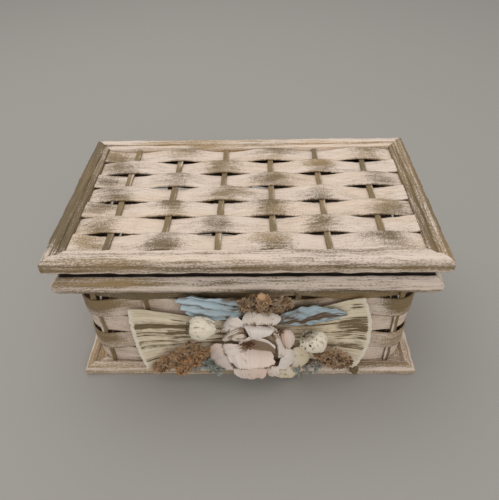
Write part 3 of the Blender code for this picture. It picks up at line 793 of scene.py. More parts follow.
def rail_sizes(prefix):
    """A frame of rails' outer reach beyond the wall's middle, its inner reach, foot and top."""
    low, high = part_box(f"{prefix}_rail_front")
    return -low.y - HALF_DEPTH, -high.y - HALF_DEPTH, low.z, high.z


def base_profile():
    """Base rail: an upright face, a slope up to the wall, a ledge under the splints."""
    nose, inner, foot, top = rail_sizes("base")
    face_height = 6.0 * MM
    face = WEAVE_HALF + WALL_PLAY
    ledge = 5.4 * MM
    return [
        (inner, foot), (nose, foot), (nose, foot + face_height), (face, top), (face, ledge),
        (inner, ledge),
    ]


def rim_profile():
    """Rim rail: a cap, a chamfer, a face, and an undercut that slopes back to the wall."""
    nose, inner, foot, top = rail_sizes("rim")
    face = WEAVE_HALF + WALL_PLAY
    cap = 7.0 * MM
    chamfer_out, chamfer_drop = 4.6 * MM, 3.9 * MM
    face_height = 5.5 * MM
    undercut_out = 2.6 * MM
    return [
        (inner, top - cap), (inner, top), (nose - chamfer_out, top),
        (nose - 0.4 * MM, top - chamfer_drop), (nose, top - chamfer_drop - 0.8 * MM),
        (nose, top - chamfer_drop - face_height),
        (nose - undercut_out, foot), (face, foot), (face, top - cap),
    ]


def lid_profile():
    """Lid rail: an inner bead, a groove, a crown, a round nose, and its rabbet, lip and ledge."""
    nose, ledge_inner, foot, top = rail_sizes("lid")
    edge = nose - LID_RAIL_WIDTH
    inner_top = top - 2.0 * MM
    crown_start = edge + 5.4 * MM
    crown_width = 7.2 * MM
    rest = foot + 5.0 * MM
    under = rest + 7.2 * MM
    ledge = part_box("lid_splint_1")[0].z - 0.3 * MM
    crown = [
        (crown_start + crown_width * share, top - (1 - math.sin(math.pi * share)) * MM)
        for share in np.linspace(0, 1, 9)
    ]
    lip_face = -(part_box("rim_rail_front")[1].y + HALF_DEPTH) - 0.6 * MM
    return [
        (ledge_inner, foot), (ledge_inner, ledge), (edge, ledge), (edge, inner_top),
        (crown_start - 0.7 * MM, inner_top + 0.1 * MM), (crown_start - 0.1 * MM, inner_top - 0.5 * MM),
        *crown, (nose - 0.7 * MM, top - 2.0 * MM), (nose, top - 3.6 * MM), (nose, top - 10.4 * MM),
        (nose - 1.2 * MM, top - 12.0 * MM), (nose - 1.6 * MM, under + 1.6 * MM),
        (nose - 3.0 * MM, under), (nose - 8.4 * MM, under), (nose - 8.4 * MM, rest),
        (lip_face, rest), (lip_face, foot),
    ]


def rail_paint(prefix, side, x, out, z, normal):
    """Cover and gold of the wash on a rail, and where it is unpainted wood under painted shade, from
    where each point lies: x along it in metres, out and z in its profile, and the normal (out, z) of the
    surface there."""
    nose, _, _, top = rail_sizes(prefix)
    seed = 700 + 10 * ["base", "rim", "lid"].index(prefix) + list(SIDES).index(side)
    across = (out + z) * 22
    drift = waves(x, across, 190 * MM, 60 * MM, seed)
    streak = waves(x, across * 3, 120 * MM, 30 * MM, seed + 2)
    cover = 0.80 + 0.06 * drift + 0.05 * streak
    gold = 0.25 + 0.12 * waves(x, z, 160 * MM, 70 * MM, seed + 1)
    down = np.clip(-normal[..., 1], 0, 1)
    if prefix == "lid":
        groove = bump_at(out, nose - LID_RAIL_WIDTH + 5.2 * MM, 0.55 * MM) * (z > top - 4 * MM)
        bead = (out < nose - 10.2 * MM) * (z > top - 5 * MM)
        nose_share = np.clip((out - nose + 5 * MM) / (3 * MM), 0, 1)
        nose_band = bump_at(z, top - 6.4 * MM, 3.6 * MM) * nose_share
        foot_line = bump_at(z, top - 10.8 * MM, 0.8 * MM) * (out > nose - 3 * MM)
        if side == "front":
            left_third = np.clip((-x - 0.05) / 0.05, 0, 1)
            crown = bump_at(out, nose - 2.5 * MM, 5.0 * MM) * (z > top - 6 * MM)
            cover = cover - 0.40 * groove - 0.10 * bead - nose_band * (0.62 + 0.12 * streak)
            cover = cover - 0.32 * left_third * crown * (0.8 + 0.5 * streak) + 0.50 * foot_line
            gold = gold + 0.25 * left_third * np.maximum(nose_band, crown)
        if side == "left":
            corner = bump_at(x, -HALF_DEPTH - 4 * MM, 12 * MM)
            far_edge = bump_at(x, HALF_DEPTH, 30 * MM) * bump_at(out, nose - 10 * MM, 3 * MM)
            gold = gold - 0.30
            cover = cover - 0.95 + 0.55 * corner + 0.5 * far_edge + 0.12 * bead
        if side == "back":
            cover = cover - 0.40 * groove - 0.30 * nose_band - 0.34 * bump_at(x, -45 * MM, 60 * MM)
            gold = gold + 0.60
        if side == "right":
            facet = bump_at(out, nose - 3.0 * MM, 0.9 * MM)
            facet = facet + bump_at(z, top - 5.4 * MM, 1.2 * MM) * (out > nose - 2 * MM)
            cover = cover - 0.46 - 0.45 * groove - (0.40 + 0.20 * streak) * facet - 0.22 * bead
    if prefix == "rim":
        chamfer = (normal[..., 1] > 0.35) & (out > nose - 5.4 * MM)
        edge = bump_at(z, top - 4.3 * MM, 0.9 * MM) * (out > nose - 2 * MM)
        foot_edge = bump_at(z, top - 9.3 * MM, 0.9 * MM) * (out > nose - 2 * MM)
        cover = cover - (0.06 + 0.10 * streak) * chamfer - 0.14 * edge - 0.30 * foot_edge
        ochre = np.clip(0.5 - (x + 60 * MM) / (60 * MM), 0, 1) * (side == "front")
        cover = cover - 0.30 * chamfer * ochre
        gold = gold + chamfer * (0.10 + 0.35 * ochre)
        cover = cover - 0.45 * (z < top - 10.2 * MM)
    if prefix == "base":
        face_top = bump_at(z, 6.0 * MM, 1.0 * MM) * (out > nose - 2 * MM)
        cover = cover - 0.28 + 0.30 * face_top - 0.06 * streak
        gold = gold + 0.2
        if side == "left":
            cover = cover - 0.20
            gold = gold + 0.3
    cover = cover - 0.30 * (down > 0.7)
    bare_in_shade = 0.0 * cover
    # Painted shade in the gap: the rim's top under the lid and the lid's underside turn near-black brown
    if prefix == "rim":
        bare_in_shade = bare_in_shade + (z > top - 0.8 * MM) * (out < nose - 5.0 * MM)
    if prefix == "lid":
        bare_in_shade = bare_in_shade + (z < top - 12.0 * MM)
    return cover, np.clip(gold, 0, 1), bare_in_shade


class BOX_OT_rails(PieceOperator, bpy.types.Operator):
    """Make the mitred base, rim and lid rails with their mouldings and worn paint"""

    bl_idname = "woven_box.rails"
    bl_label = "Rails"

    def execute(self, context):
        weave = context.scene.box_weave
        material = wash_material(context, "rail_paint", 1.5, 3.2, 0.3 * MM,
                                 (solid(context.scene.box_finish.bare_in_shade), "bare_in_shade"))
        shapes = {"base": base_profile(), "rim": rim_profile(), "lid": lid_profile()}
        trim = 0.2 * MM
        for prefix, corners in shapes.items():
            softness = (0.8 if prefix == "lid" else 0.45) * MM
            out, z = smooth_profile(corners, RAIL_OUTLINE_STEP, softness).T
            next_out, next_z = np.roll(out, -1), np.roll(z, -1)
            normal = unit(np.stack([next_z - np.roll(z, 1), np.roll(out, 1) - next_out], axis=-1))
            normal = normal * np.sign(np.sum(out * next_z - next_out * z))
            around = girth(out, z)
            for number, (side, (face_x, face_y)) in enumerate(SIDES.items()):
                half = HALF_LENGTH if face_y else HALF_DEPTH
                share = np.linspace(-1, 1, int(2 * half / RAIL_STATION_STEP))[:, None]
                x = share * (half + out - trim)
                seed = 600 + 20 * number + len(prefix)
                ridges = weave.grain_depth * 1.3 * grain(x, around[:-1][None, :], seed)
                dents = 0.16 * MM * waves(x, around[:-1][None, :], 30 * MM, 7 * MM, seed + 1)
                shift = (ridges + dents) * np.clip((1 - np.abs(share)) * 40, 0, 1)
                wide = out + shift * normal[:, 0] - 0.15 * MM * np.abs(normal[:, 0])
                tall = z + shift * normal[:, 1]
                if prefix == "base":
                    tall = np.where(z < 0.3 * MM, z, tall)
                if face_y:
                    sections = np.stack([x, face_y * (HALF_DEPTH + wide), tall], axis=-1)
                else:
                    sections = np.stack([face_x * (HALF_LENGTH + wide), x, tall], axis=-1)
                cover, gold, bare_in_shade = rail_paint(prefix, side, x, out[None, :], z[None, :], normal[None])
                shell = Shell()
                shell.add_tube(sections, 0.55 * share[:, 0] * half + 0.9 * seed, around,
                               {"cover": cover, "gold": gold, "bare_in_shade": bare_in_shade})
                shell.finish(f"{prefix}_rail_moulded_{side}", material, [f"{prefix}_rail_{side}"],
                             "washed_moulding", sharp=60)
        return {"FINISHED"}


class BOX_OT_bottom_board(PieceOperator, bpy.types.Operator):
    """Give the bottom board its plain brown finish"""

    bl_idname = "woven_box.bottom_board"
    bl_label = "Bottom board"

    def execute(self, context):
        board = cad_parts["bottom_board"]
        finish = context.scene.box_finish
        material, tree, shader = new_material("board_wood")
        place = node(tree, "ShaderNodeTexCoord").outputs["Object"]
        lines = noise(tree, place, (14.0, 420.0, 420.0), 4.0, 0.6)
        knots = noise(tree, place, (30.0, 60.0, 60.0), 2.0)
        dark = tinted(tree, solid(finish.underpaint), (0.6, 0.58, 0.55))
        brown = mixed(tree, ramp(tree, lines, 0.35, 0.65), dark, solid(finish.underpaint))
        brown = mixed(tree, ramp(tree, knots, 0.5, 0.75), brown, solid(finish.ochre))
        feed(tree, shader.inputs["Base Color"], brown)
        feed(tree, shader.inputs["Roughness"], calculate(tree, "MULTIPLY_ADD", lines, 0.2, 0.7))
        add_relief(tree, shader, lines, 0.2 * MM)
        board.data.materials.clear()
        board.data.materials.append(material)
        return {"FINISHED"}


# The spray of dried flowers

# Its lengths are hundredths of its span, from the rose's centre; out is measured from the wall
SPAN_SHARE = 2.0 * MM
ROSE_X = 7.7 * MM
ROSE_Z = 47.0 * MM

# The husk's two outer edges and its gathered waist: bottom, middle and top as (x, height)
HUSK_LEFT = ((-47.5, -18.5), (-50, -0.5), (-49.5, 17))
HUSK_RIGHT = ((41, -18), (45.5, 1.5), (40.5, 23))
HUSK_WAIST = ((-2, -7.5), (-2, -0.5), (-2, 6.5))
HUSK_PLEATS = 5


def in_front(x, out, height):
    """A place in front of the wall: x and height from the rose's centre, out from the wall's face."""
    return np.stack([ROSE_X + x, WALL_FACE_Y - out, ROSE_Z + height], axis=-1)


def leaning_axes(degrees):
    """An axis along the wall that leans up by the angle, the one a quarter turn on, and the front."""
    turn = math.radians(degrees)
    cosine, sine = math.cos(turn), math.sin(turn)
    return np.array([cosine, 0.0, sine]), np.array([-sine, 0.0, cosine]), FRONT


def about_axis(centre, axes, halves, reach, radius, angle):
    """Places about a flower's centre: a reach along its first axis, and a radius at an angle
    between its other two, all as shares of its half length, half depth and half height."""
    axis, side, front = axes
    return (centre + np.multiply.outer(reach * halves[0], axis)
            + np.multiply.outer(radius * np.cos(angle) * halves[2], side)
            + np.multiply.outer(radius * np.sin(angle) * halves[1], front))


def edge_curve(edge, v):
    """The quadratic curve through an edge's bottom, middle and top, for v from 0 to 1."""
    bottom, middle, top = (np.array(p) * SPAN_SHARE for p in edge)
    bend = 2 * middle - (bottom + top) / 2
    v = v[..., None]
    return (1 - v) ** 2 * bottom + 2 * v * (1 - v) * bend + v ** 2 * top


class BOX_OT_husk(PieceOperator, bpy.types.Operator):
    """Fan the dried husk out to both sides from its gathered waist"""

    bl_idname = "woven_box.husk"
    bl_label = "Husk"

    def execute(self, context):
        finish = context.scene.box_finish
        material = fibre_material("husk_fibre", finish.husk, finish.husk_streak, 1.0, 2.4, 0.35 * MM,
                                  (solid(finish.husk_rim), "rim"))
        u, v = share_grid(HUSK_GRID, first=-1, side=0)
        spread = np.abs(u)
        outer = np.where(u[..., None] < 0, edge_curve(HUSK_LEFT, v), edge_curve(HUSK_RIGHT, v))
        plan = edge_curve(HUSK_WAIST, v) * (1 - spread[..., None]) + outer * spread[..., None]
        frayed = 0.25 * MM * waves(v * 60 * MM, np.sign(u) * 30 * MM, 9 * MM, 2 * MM, 11)
        plan[..., 0] += frayed * np.sign(u) * spread ** 3
        pleat_turn = 2 * math.pi * HUSK_PLEATS * (v + 0.012 * np.sin(9 * u + 4 * v))
        fibres = waves(v * 70 * MM, u * 2.2 * MM, 5 * MM, 1.3 * MM, 12)
        tamed = spread * (1 - 0.75 * np.clip((spread - 0.8) / 0.15, 0, 1))
        pleats = tamed * (0.7 * MM * np.cos(pleat_turn) + 0.28 * MM * fibres)
        curl = 2.2 * MM * np.clip((spread - 0.86) / 0.14, 0, 1) ** 1.5
        low = np.clip(1 - (ROSE_Z + plan[..., 1] - 6 * MM) / (100.7 * MM), 0, 1)
        out = 2.1 * MM + 5.7 * MM * low ** 2 * spread + pleats + curl
        middle = in_front(plan[..., 0], out, plan[..., 1])
        folds = 0.5 - 0.5 * np.cos(pleat_turn)
        left_bands = bells(v, (1.0, 0.76 - 0.04 * spread, 0.04 + 0.045 * spread), (0.6, 0.58, 0.035),
                           (0.6, 0.44, 0.02), (0.5, 0.34, 0.02), (-0.5, 0.9, 0.08))
        right_bands = bells(v, (0.9 * np.clip(2.4 * spread - 1.2, 0, 1), 0.64, 0.11),
                            (0.3, 0.46, 0.05), (0.3, 0.3, 0.05), (-0.5, 0.95, 0.08))
        stain = 0.10 + 0.14 * folds + 0.84 * np.where(u < 0, left_bands, right_bands)
        stain = stain - 0.10 * fibres + 0.2 * (1 - spread)
        rim = np.clip((spread - 0.968) / 0.012, 0, 1)
        shell = Shell()
        shell.add_sheet(middle, HUSK_THICKNESS, u[:, 0] * 90 * MM, v[0] * 70 * MM,
                        {"stain": stain * (1 - rim), "rim": 0.85 * rim},
                        normal=np.broadcast_to(FRONT, middle.shape))
        ball = in_front(41 * SPAN_SHARE, 9.5 * MM, -18.6 * SPAN_SHARE)
        for number in range(5):
            rng = np.random.default_rng(40 + number)
            add_blob(shell, ball + rng.uniform(-2, 2, 3) * MM, rng.uniform(1.4, 2.6, 3) * MM, 12, 8,
                     {"stain": 1.0, "rim": 0.0}, 50 + number)
        shell.finish("husk_pleated", material, ["husk_fan"], "dried_husk")
        return {"FINISHED"}


def add_blob(shell, centre, radii, around, rings, weights, seed):
    """A closed lumpy ball: circles from pole to pole, each point moved by slow waves of its place."""
    polar = np.linspace(0.06, math.pi - 0.06, rings)[:, None]
    turn = np.linspace(0, 2 * math.pi, around, endpoint=False)[None, :]
    ball = np.stack([np.sin(polar) * np.cos(turn), np.sin(polar) * np.sin(turn),
                     np.cos(polar) * np.ones_like(turn)], axis=-1)
    lumps = 1 + 0.12 * waves(ball[..., 0] + ball[..., 2], ball[..., 1] - ball[..., 2], 2.0, 0.7, seed, 6)
    sections = centre + ball * lumps[..., None] * radii
    shell.add_tube(sections, polar[:, 0] * radii[2], np.append(turn[0], 2 * math.pi) * radii[0], weights)


Leaf = namedtuple("Leaf", "stem tip width bow relief vein_depth stain vein stem_stain stem_reach light")

# Stem and tip as (x, height), width and bow in the spray's hundredths; the ribs' relief and the
# veins' depth in millimetres; then the paint's weights, how fast the stem's stain fades, and how
# strong the painted highlight on the ribs is
LEAVES = {
    "leaf_left": Leaf((-4, 18.3), (-29.6, 21.6), 12.5, 1, 3.2, 1.26, 0.20, 0.75, 0.36, 2.2, 0.85),
    "leaf_right": Leaf((8.5, 11.5), (34.5, 15.5), 10.5, 2, 0.5, 0.70, 0.30, 1.3, 0.45, 3.2, 0.3),
}
LEAF_OUT = 6.7 * MM


def ribbed_leaf(u, v):
    """The left leaf's outline, ribs, veins and fingers: the ribs are the cosine of a slanted count
    across it, the veins lie in the grooves between them and their brown also paints the grooves'
    shade, and its tip runs out where a rib stands high."""
    teeth = 0.06 * np.abs(np.sin(math.pi * (2.6 * u + 0.9 * np.abs(v))))
    outline = np.sin(math.pi * (0.14 + 0.74 * u)) ** 0.5 * (1 - teeth)
    slant = v * 1.45 + u * 0.75 + 0.25 * np.sin(3 * u + 2 * v)
    rib = np.abs(np.cos(math.pi * slant)) ** 0.8
    return outline, rib, bump_at(rib, 0.0, 0.34), 5.0 * MM * (rib - 0.5) * u ** 3


def veined_leaf(u, v):
    """The right leaf's outline, ribs, two brown veins and no fingers: its ribs are the cosine of a
    count that grows from its middle line and falls towards its tip."""
    teeth = 0.05 * np.abs(np.sin(math.pi * 7 * u + v))
    outline = np.sin(math.pi * (0.10 + 0.88 * u)) ** 0.9 * (1 - teeth)
    rib = 0.5 + 0.5 * np.cos(2 * math.pi * (2.4 * np.abs(v) - 5.0 * u))
    line = -0.62 + 0.6 * u + 0.08 * np.sin(11 * u)
    vein = bump_at(v, line, 0.20) * np.clip(5 * u - 0.4, 0, 1)
    second = bump_at(v, line + 0.55 - 0.3 * u, 0.12) * bump_at(u, 0.58, 0.20)
    return outline, rib, np.maximum(vein, second), 0 * u


class BOX_OT_leaves(PieceOperator, bpy.types.Operator):
    """Shape the two grey-blue leaves, one with finger ribs and one with a brown vein"""

    bl_idname = "woven_box.leaves"
    bl_label = "Leaves"

    def execute(self, context):
        finish = context.scene.box_finish
        material = fibre_material("leaf_paint", finish.leaf, finish.leaf_vein, 0.8, 1.5, 0.3 * MM,
                                  (solid(finish.leaf_rib_highlight), "light"))
        u, v = share_grid(LEAF_GRID)
        for name, leaf in LEAVES.items():
            left = name == "leaf_left"
            outline, rib, vein, fingers = ribbed_leaf(u, v) if left else veined_leaf(u, v)
            stem, tip = np.array(leaf.stem) * SPAN_SHARE, np.array(leaf.tip) * SPAN_SHARE
            width, bow = leaf.width * SPAN_SHARE, leaf.bow * SPAN_SHARE
            along = (tip - stem) / np.linalg.norm(tip - stem)
            side = np.array([-along[1], along[0]])
            lean = 0.10 * width * v ** 2 * (1 - u)
            slope = 0.34 * width * left * (v + 1) / 2 * u ** 2
            arch = np.sin(math.pi * u)
            plan = stem + (tip - stem) * u[..., None] + (fingers - slope - lean)[..., None] * along
            plan = plan + side * (width / 2 * outline * v + bow * arch)[..., None]
            wrinkle = waves(plan[..., 0], plan[..., 1], 16 * MM, 4 * MM, 21 + left)
            depth = leaf.relief * MM * (rib - 0.6) + 0.4 * MM * wrinkle - leaf.vein_depth * MM * vein
            cup = 1.8 * MM * (1 - v ** 2) * (1 - 0.4 * u)
            out = LEAF_OUT + depth + cup + 1.5 * MM * (u if left else arch)
            patch = waves(plan[..., 0], plan[..., 1], 22 * MM, 7 * MM, 23 + left)
            stem_end = np.clip(1 - leaf.stem_reach * u, 0, 1)
            # The veins' weight lays brown along them; on the left leaf it also paints the shade in the
            # grooves
            stain = leaf.stain + leaf.vein * vein + 0.14 * patch + leaf.stem_stain * stem_end
            # Painted highlight on the raised ribs, growing towards the tip
            light = leaf.light * (rib - 0.2) * np.clip(1.6 * u - 0.2, 0, 1) * (1 - vein)
            shell = Shell()
            shell.add_sheet(in_front(plan[..., 0], out, plan[..., 1]), LEAF_THICKNESS,
                            u[:, 0] * 52 * MM, v[0] * 12 * MM,
                            {"stain": stain, "light": np.clip(light, 0, 1)})
            shell.finish(f"{name}_ribbed", material, [name], "blue_leaf")
        return {"FINISHED"}


SPECK_LIFT = 1.04

# Each bud's x, height, out, half length, half depth, half height, and lean in degrees
BUDS = {
    "bud_left": (-21, 13.5, 8.5, 5.5, 3.9, 5.25, 0),
    "bud_right": (22.15, 4, 7.75, 5.5, 3.75, 5.5, -60),
}

# Each bud petal's base and tip along the bud's axis, its turn round it, its wrap and its bulge
BUD_PETALS = (
    (-1.0, 0.98, 0.3, 1.5, 0.80), (-0.97, 1.02, 2.2, 1.5, 0.84), (-1.0, 1.0, 4.3, 1.5, 0.84),
    (-0.96, 1.08, 1.1, 1.15, 0.93), (-0.98, 1.02, 3.3, 1.2, 0.94), (-0.95, 1.0, 5.3, 1.1, 0.95),
    (-0.93, 0.9, 1.75, 1.0, 1.0), (-0.9, 0.82, 0.45, 0.8, 1.0),
)


def bud_profile(s):
    """A bud's radius at a share of its length, as a share of its half width: a flattened sine."""
    return np.sin(math.pi * (0.10 + 0.82 * s)) ** 0.62


def bud_petal(base, tip, turn, wrap, bulge, edge_seed):
    """A petal folded round a bud: s runs along the bud's axis and v round it, so that the radius is
    the bud's own profile, the half width narrows as a sine to the tip, and the rim stands off."""
    s, v = share_grid(BUD_PETAL_GRID)
    radius = bud_profile(s) * bulge
    angle = turn + v * wrap * np.sin(math.pi * (0.16 + 0.76 * s)) ** 0.7
    rim = 0.05 * np.abs(v) ** 3 + 0.012 * waves(s * 20, v * 12, 14, 4, edge_seed)
    reach = base + (tip - base) * (s - 0.10 * s * v ** 2)
    return reach, radius * (1 + rim), angle, s, v


class BOX_OT_buds(PieceOperator, bpy.types.Operator):
    """Fold the cream petals round the two buds"""

    bl_idname = "woven_box.buds"
    bl_label = "Buds"

    def execute(self, context):
        finish = context.scene.box_finish
        material = fibre_material("bud_petals", finish.bud, finish.bud_shade, 0.6, 0.9, 0.12 * MM,
                                  (solid(finish.calyx), "calyx"))
        for name, (x, height, out, half_length, half_depth, half_height, lean) in BUDS.items():
            right = name == "bud_right"
            number = 20 * right
            centre = in_front(x * SPAN_SHARE, out * SPAN_SHARE, height * SPAN_SHARE)
            axes = leaning_axes(lean)
            halves = np.array([half_length, half_depth, half_height]) * SPAN_SHARE
            shell = Shell()
            for order, shape in enumerate(BUD_PETALS):
                reach, radius, swing, s, v = bud_petal(*shape, 60 + order + number)
                edge = np.abs(v) ** 6 + np.clip((s - 0.93) / 0.07, 0, 1)
                stain = 0.19 + 0.26 * edge + np.clip(0.2 - s, 0, 1)
                stain = stain + 0.05 * waves(s * 30, v * 9, 9, 3, 70 + order)
                foot = (0.13 - s) / 0.08 + 0.3 * waves(v * 6, s, 3, 1, 80 + order)
                calyx = (0.45 if right else 0.75) * np.clip(foot, 0, 1) * (s < 0.3)
                middle = about_axis(centre, axes, halves, reach, radius, swing)
                shell.add_sheet(middle, BUD_PETAL_THICKNESS, s[:, 0] * 22 * MM, v[0] * 16 * MM,
                                {"stain": stain, "calyx": calyx})
            add_core(shell, centre - axes[0] * 0.3 * MM, axes, halves * 0.80)
            specks = np.random.default_rng(90 + number)
            for _ in range(7 if right else 18):
                angle = specks.uniform(0.1, 2.6) if right else specks.uniform(0.2, 2.9)
                s = specks.uniform(0.10, 0.42) if right else specks.uniform(0.0, 0.14)
                spot = about_axis(centre, axes, halves, 2 * s - 1, bud_profile(s) * SPECK_LIFT, angle)
                add_blob(shell, spot, specks.uniform(0.35, 0.95, 3) * MM, 6, 5,
                         {"stain": 1.0, "calyx": 0.95}, 91)
            shell.finish(f"{name}_folded", material, [name], "cream_bud")
        return {"FINISHED"}


def add_core(shell, centre, axes, halves):
    """The closed heart inside a bud: an ellipsoid of circles along the bud's axis."""
    polar = np.linspace(0.08, math.pi - 0.08, 12)[:, None]
    turn = np.linspace(0, 2 * math.pi, 16, endpoint=False)[None, :]
    whole = np.ones_like(turn)
    sections = about_axis(centre, axes, halves, -np.cos(polar) * whole, np.sin(polar) * whole, turn)
    shell.add_tube(sections, polar[:, 0] * 5 * MM, np.append(turn[0], 2 * math.pi) * 5 * MM,
                   {"stain": 0.5, "calyx": 0.2})


# The rose

Petal = namedtuple("Petal", "ragged warm cream shade points")

# Each petal's points from its root row to its rim row, each row from side to side, as (x, height,
# out) in millimetres: x and height from the rose's centre, out from the wall's face
ROSE_PETALS = {
    "back": Petal(0.5, 0.1, 0.25, 0.1, (
        ((-9.1, 27.4, 14), (-0.3, 27.9, 15), (8.8, 27.4, 14)),
        ((-10.8, 30.6, 11), (-0.5, 35.2, 13), (9.5, 30.6, 11)),
        ((-7.5, 34.1, 8), (-0.8, 37.7, 9), (6.7, 32.1, 8)),
    )),
    "back_right": Petal(0.6, 0.15, 0.1, 0.15, (
        ((6.6, 26.7, 14), (11.7, 26.3, 14), (14.5, 25.4, 13)),
        ((6.7, 31.3, 12), (12.9, 30.3, 12), (17.1, 26.6, 11)),
        ((8.1, 31.4, 9), (13.3, 32.7, 9), (19.5, 27.6, 9)),
    )),
    "left_top": Petal(0.5, 0.1, 0.1, 0.1, (
        ((-10.1, 15.9, 14), (-9.8, 23.0, 14), (-9.1, 27.9, 12)),
        ((-22.4, 16.0, 12), (-18.4, 25.2, 13), (-12.5, 30.2, 11)),
        ((-29.4, 12.3, 8), (-23.9, 24.7, 9), (-16.0, 33.4, 8)),
    )),
    "left_thin": Petal(0.5, 0.1, 0.1, 0.35, (
        ((-9.3, 18.4, 16), (-10.1, 24.2, 17), (-11.7, 25.0, 15)),
        ((-19.4, 9.2, 14), (-19.6, 16.8, 15.5), (-18.6, 19.8, 14)),
        ((-27.9, 1.4, 11), (-27.1, 6.7, 12), (-23.2, 13.0, 11)),
    )),
    "left_bit": Petal(1.0, 0.2, 0.3, 0.3, (
        ((-8.1, 13.3, 18), (-8.0, 18.1, 18.5), (-9.2, 21.0, 18)),
        ((-14.0, 10.5, 17), (-13.8, 16.4, 18), (-13.1, 19.2, 17)),
        ((-19.7, 8.9, 15), (-19.8, 12.5, 15.5), (-16.4, 16.2, 15)),
    )),
    "low_left": Petal(1.2, 0.5, 0.0, 0.05, (
        ((-26.8, -0.3, 12), (-24.5, -9.7, 16), (-19.4, -25.3, 18)),
        ((-34.1, -1.8, 10), (-31.3, -14.9, 13.5), (-24.5, -30.1, 15.5)),
        ((-40.1, -11.3, 7), (-37.9, -27.7, 8.5), (-28.9, -37.1, 12)),
    )),
    "bottom": Petal(1.1, 0.85, 0.0, 0.05, (
        ((-19.3, -24.7, 18), (-6.9, -19.4, 20), (7.6, -23.2, 19)),
        ((-19.1, -28.4, 19.5), (-6.0, -25.8, 22), (7.3, -28.2, 20)),
        ((-16.3, -34.6, 19), (-4.5, -36.8, 21), (5.9, -35.1, 19)),
    )),
    "bottom_pink": Petal(0.7, 0.6, 0.1, 0.1, (
        ((6.6, -24.8, 17.5), (11.4, -21.2, 18), (17.5, -22.6, 17)),
        ((7.2, -28.1, 18.5), (12.4, -27.8, 19.5), (17.9, -25.9, 18)),
        ((8.7, -32.8, 18), (13.9, -35.9, 18.5), (18.3, -30.0, 18)),
    )),
    "bottom_cream": Petal(0.6, 0.1, 0.9, 0.15, (
        ((16.1, -33.1, 13.5), (24.7, -28.4, 13), (37.7, -35.2, 10)),
        ((14.7, -35.5, 15.5), (25.2, -35.5, 15.5), (37.6, -36.0, 11.5)),
        ((16.2, -40.6, 15), (25.8, -43.1, 15), (35.1, -42.0, 12)),
    )),
    "right_cream": Petal(0.6, 0.0, 1.0, 0.1, (
        ((28.1, -11.0, 9), (29.2, -18.2, 12), (27.6, -31.4, 13)),
        ((31.4, -9.0, 8), (35.8, -18.1, 10), (34.0, -33.7, 11)),
        ((35.3, -10.0, 6), (43.6, -22.3, 7), (39.2, -35.1, 8)),
    )),
    "right_white": Petal(0.3, 0.0, 0.1, 0.0, (
        ((21.7, -4.7, 12), (19.4, -12.9, 15), (16.2, -24.7, 18)),
        ((26.7, -5.9, 12), (25.5, -14.0, 15), (21.0, -26.7, 17)),
        ((30.7, -11.9, 10), (30.4, -21.6, 12), (24.3, -29.7, 15)),
    )),
    "right_pink": Petal(0.2, 0.95, 0.0, 0.0, (
        ((23.5, -2.1, 14), (25.2, -3.7, 14), (26.8, -1.0, 14)),
        ((19.6, 7.8, 13), (23.9, 10.5, 15.5), (29.5, 5.7, 13)),
        ((19.0, 13.6, 11), (23.9, 17.2, 12), (29.3, 10.4, 11)),
    )),
    "right_tall": Petal(0.6, 0.1, 0.1, 0.25, (
        ((7.9, 24.2, 13), (14.1, 9.9, 15), (16.7, -12.6, 16)),
        ((11.4, 23.9, 13), (16.7, 9.6, 14), (19.7, -10.3, 16)),
        ((16.3, 17.2, 11), (19.1, 5.5, 12), (24.0, -7.5, 14)),
    )),
    # The hollow's inside is nearly all painted shade; only its rim stays pale
    "hollow": Petal(0.3, 0.2, 0.1, 0.95, (
        ((-13.6, -2.3, 15), (0.0, -2.1, 15.5), (13.3, -6.0, 17)),
        ((-14.2, 2.8, 16.5), (-0.5, 10.9, 18), (14.2, 3.4, 20)),
        ((-14.8, 8.6, 18), (-1.0, 18.6, 19.5), (15.4, 8.6, 22)),
    )),
    "front": Petal(1.4, 0.55, 0.0, 0.08, (
        ((-23.0, 2.3, 14), (-7.2, -1.3, 14.5), (10.9, -1.5, 16)),
        ((-24.7, -3.1, 18), (-7.2, -6.4, 22), (13.8, -5.3, 22)),
        ((-20.8, -15.6, 22), (-5.3, -13.2, 27), (15.8, -11.4, 24)),
    )),
    "front_left": Petal(1.0, 0.35, 0.0, 0.1, (
        ((-12.2, 6.3, 17), (-11.7, 1.0, 17), (-12.5, -3.1, 18)),
        ((-20.7, 6.7, 16.5), (-20.2, 1.9, 18.5), (-20.3, -3.6, 20)),
        ((-27.2, 3.0, 14.5), (-26.7, -1.9, 16.5), (-22.6, -8.3, 19)),
    )),
    "white_tongue": Petal(0.2, 0.0, 0.0, 0.0, (
        ((-10.1, 26.3, 14), (-0.3, 27.6, 15.5), (8.5, 25.0, 14.5)),
        ((-7.9, 25.5, 18), (0.4, 26.7, 21), (12.2, 23.9, 18)),
        ((-4.5, 18.9, 20.5), (-1.0, 17.9, 21.5), (8.5, 20.0, 20)),
    )),
}


# Clusters of dry crumbs: x, height, out and spread in millimetres, and how many
ROSE_CRUMBS = ((-7.0, 9.0, 18, 2.4, 34), (-24, 17, 12, 3.0, 26), (17, 19, 14, 1.6, 16))


def quadratic_weights(t):
    """Weights of three points so that the curve passes them at t = 0, 1/2 and 1."""
    return np.stack([(1 - t) * (1 - 2 * t), 4 * t * (1 - t), t * (2 * t - 1)], axis=-1)


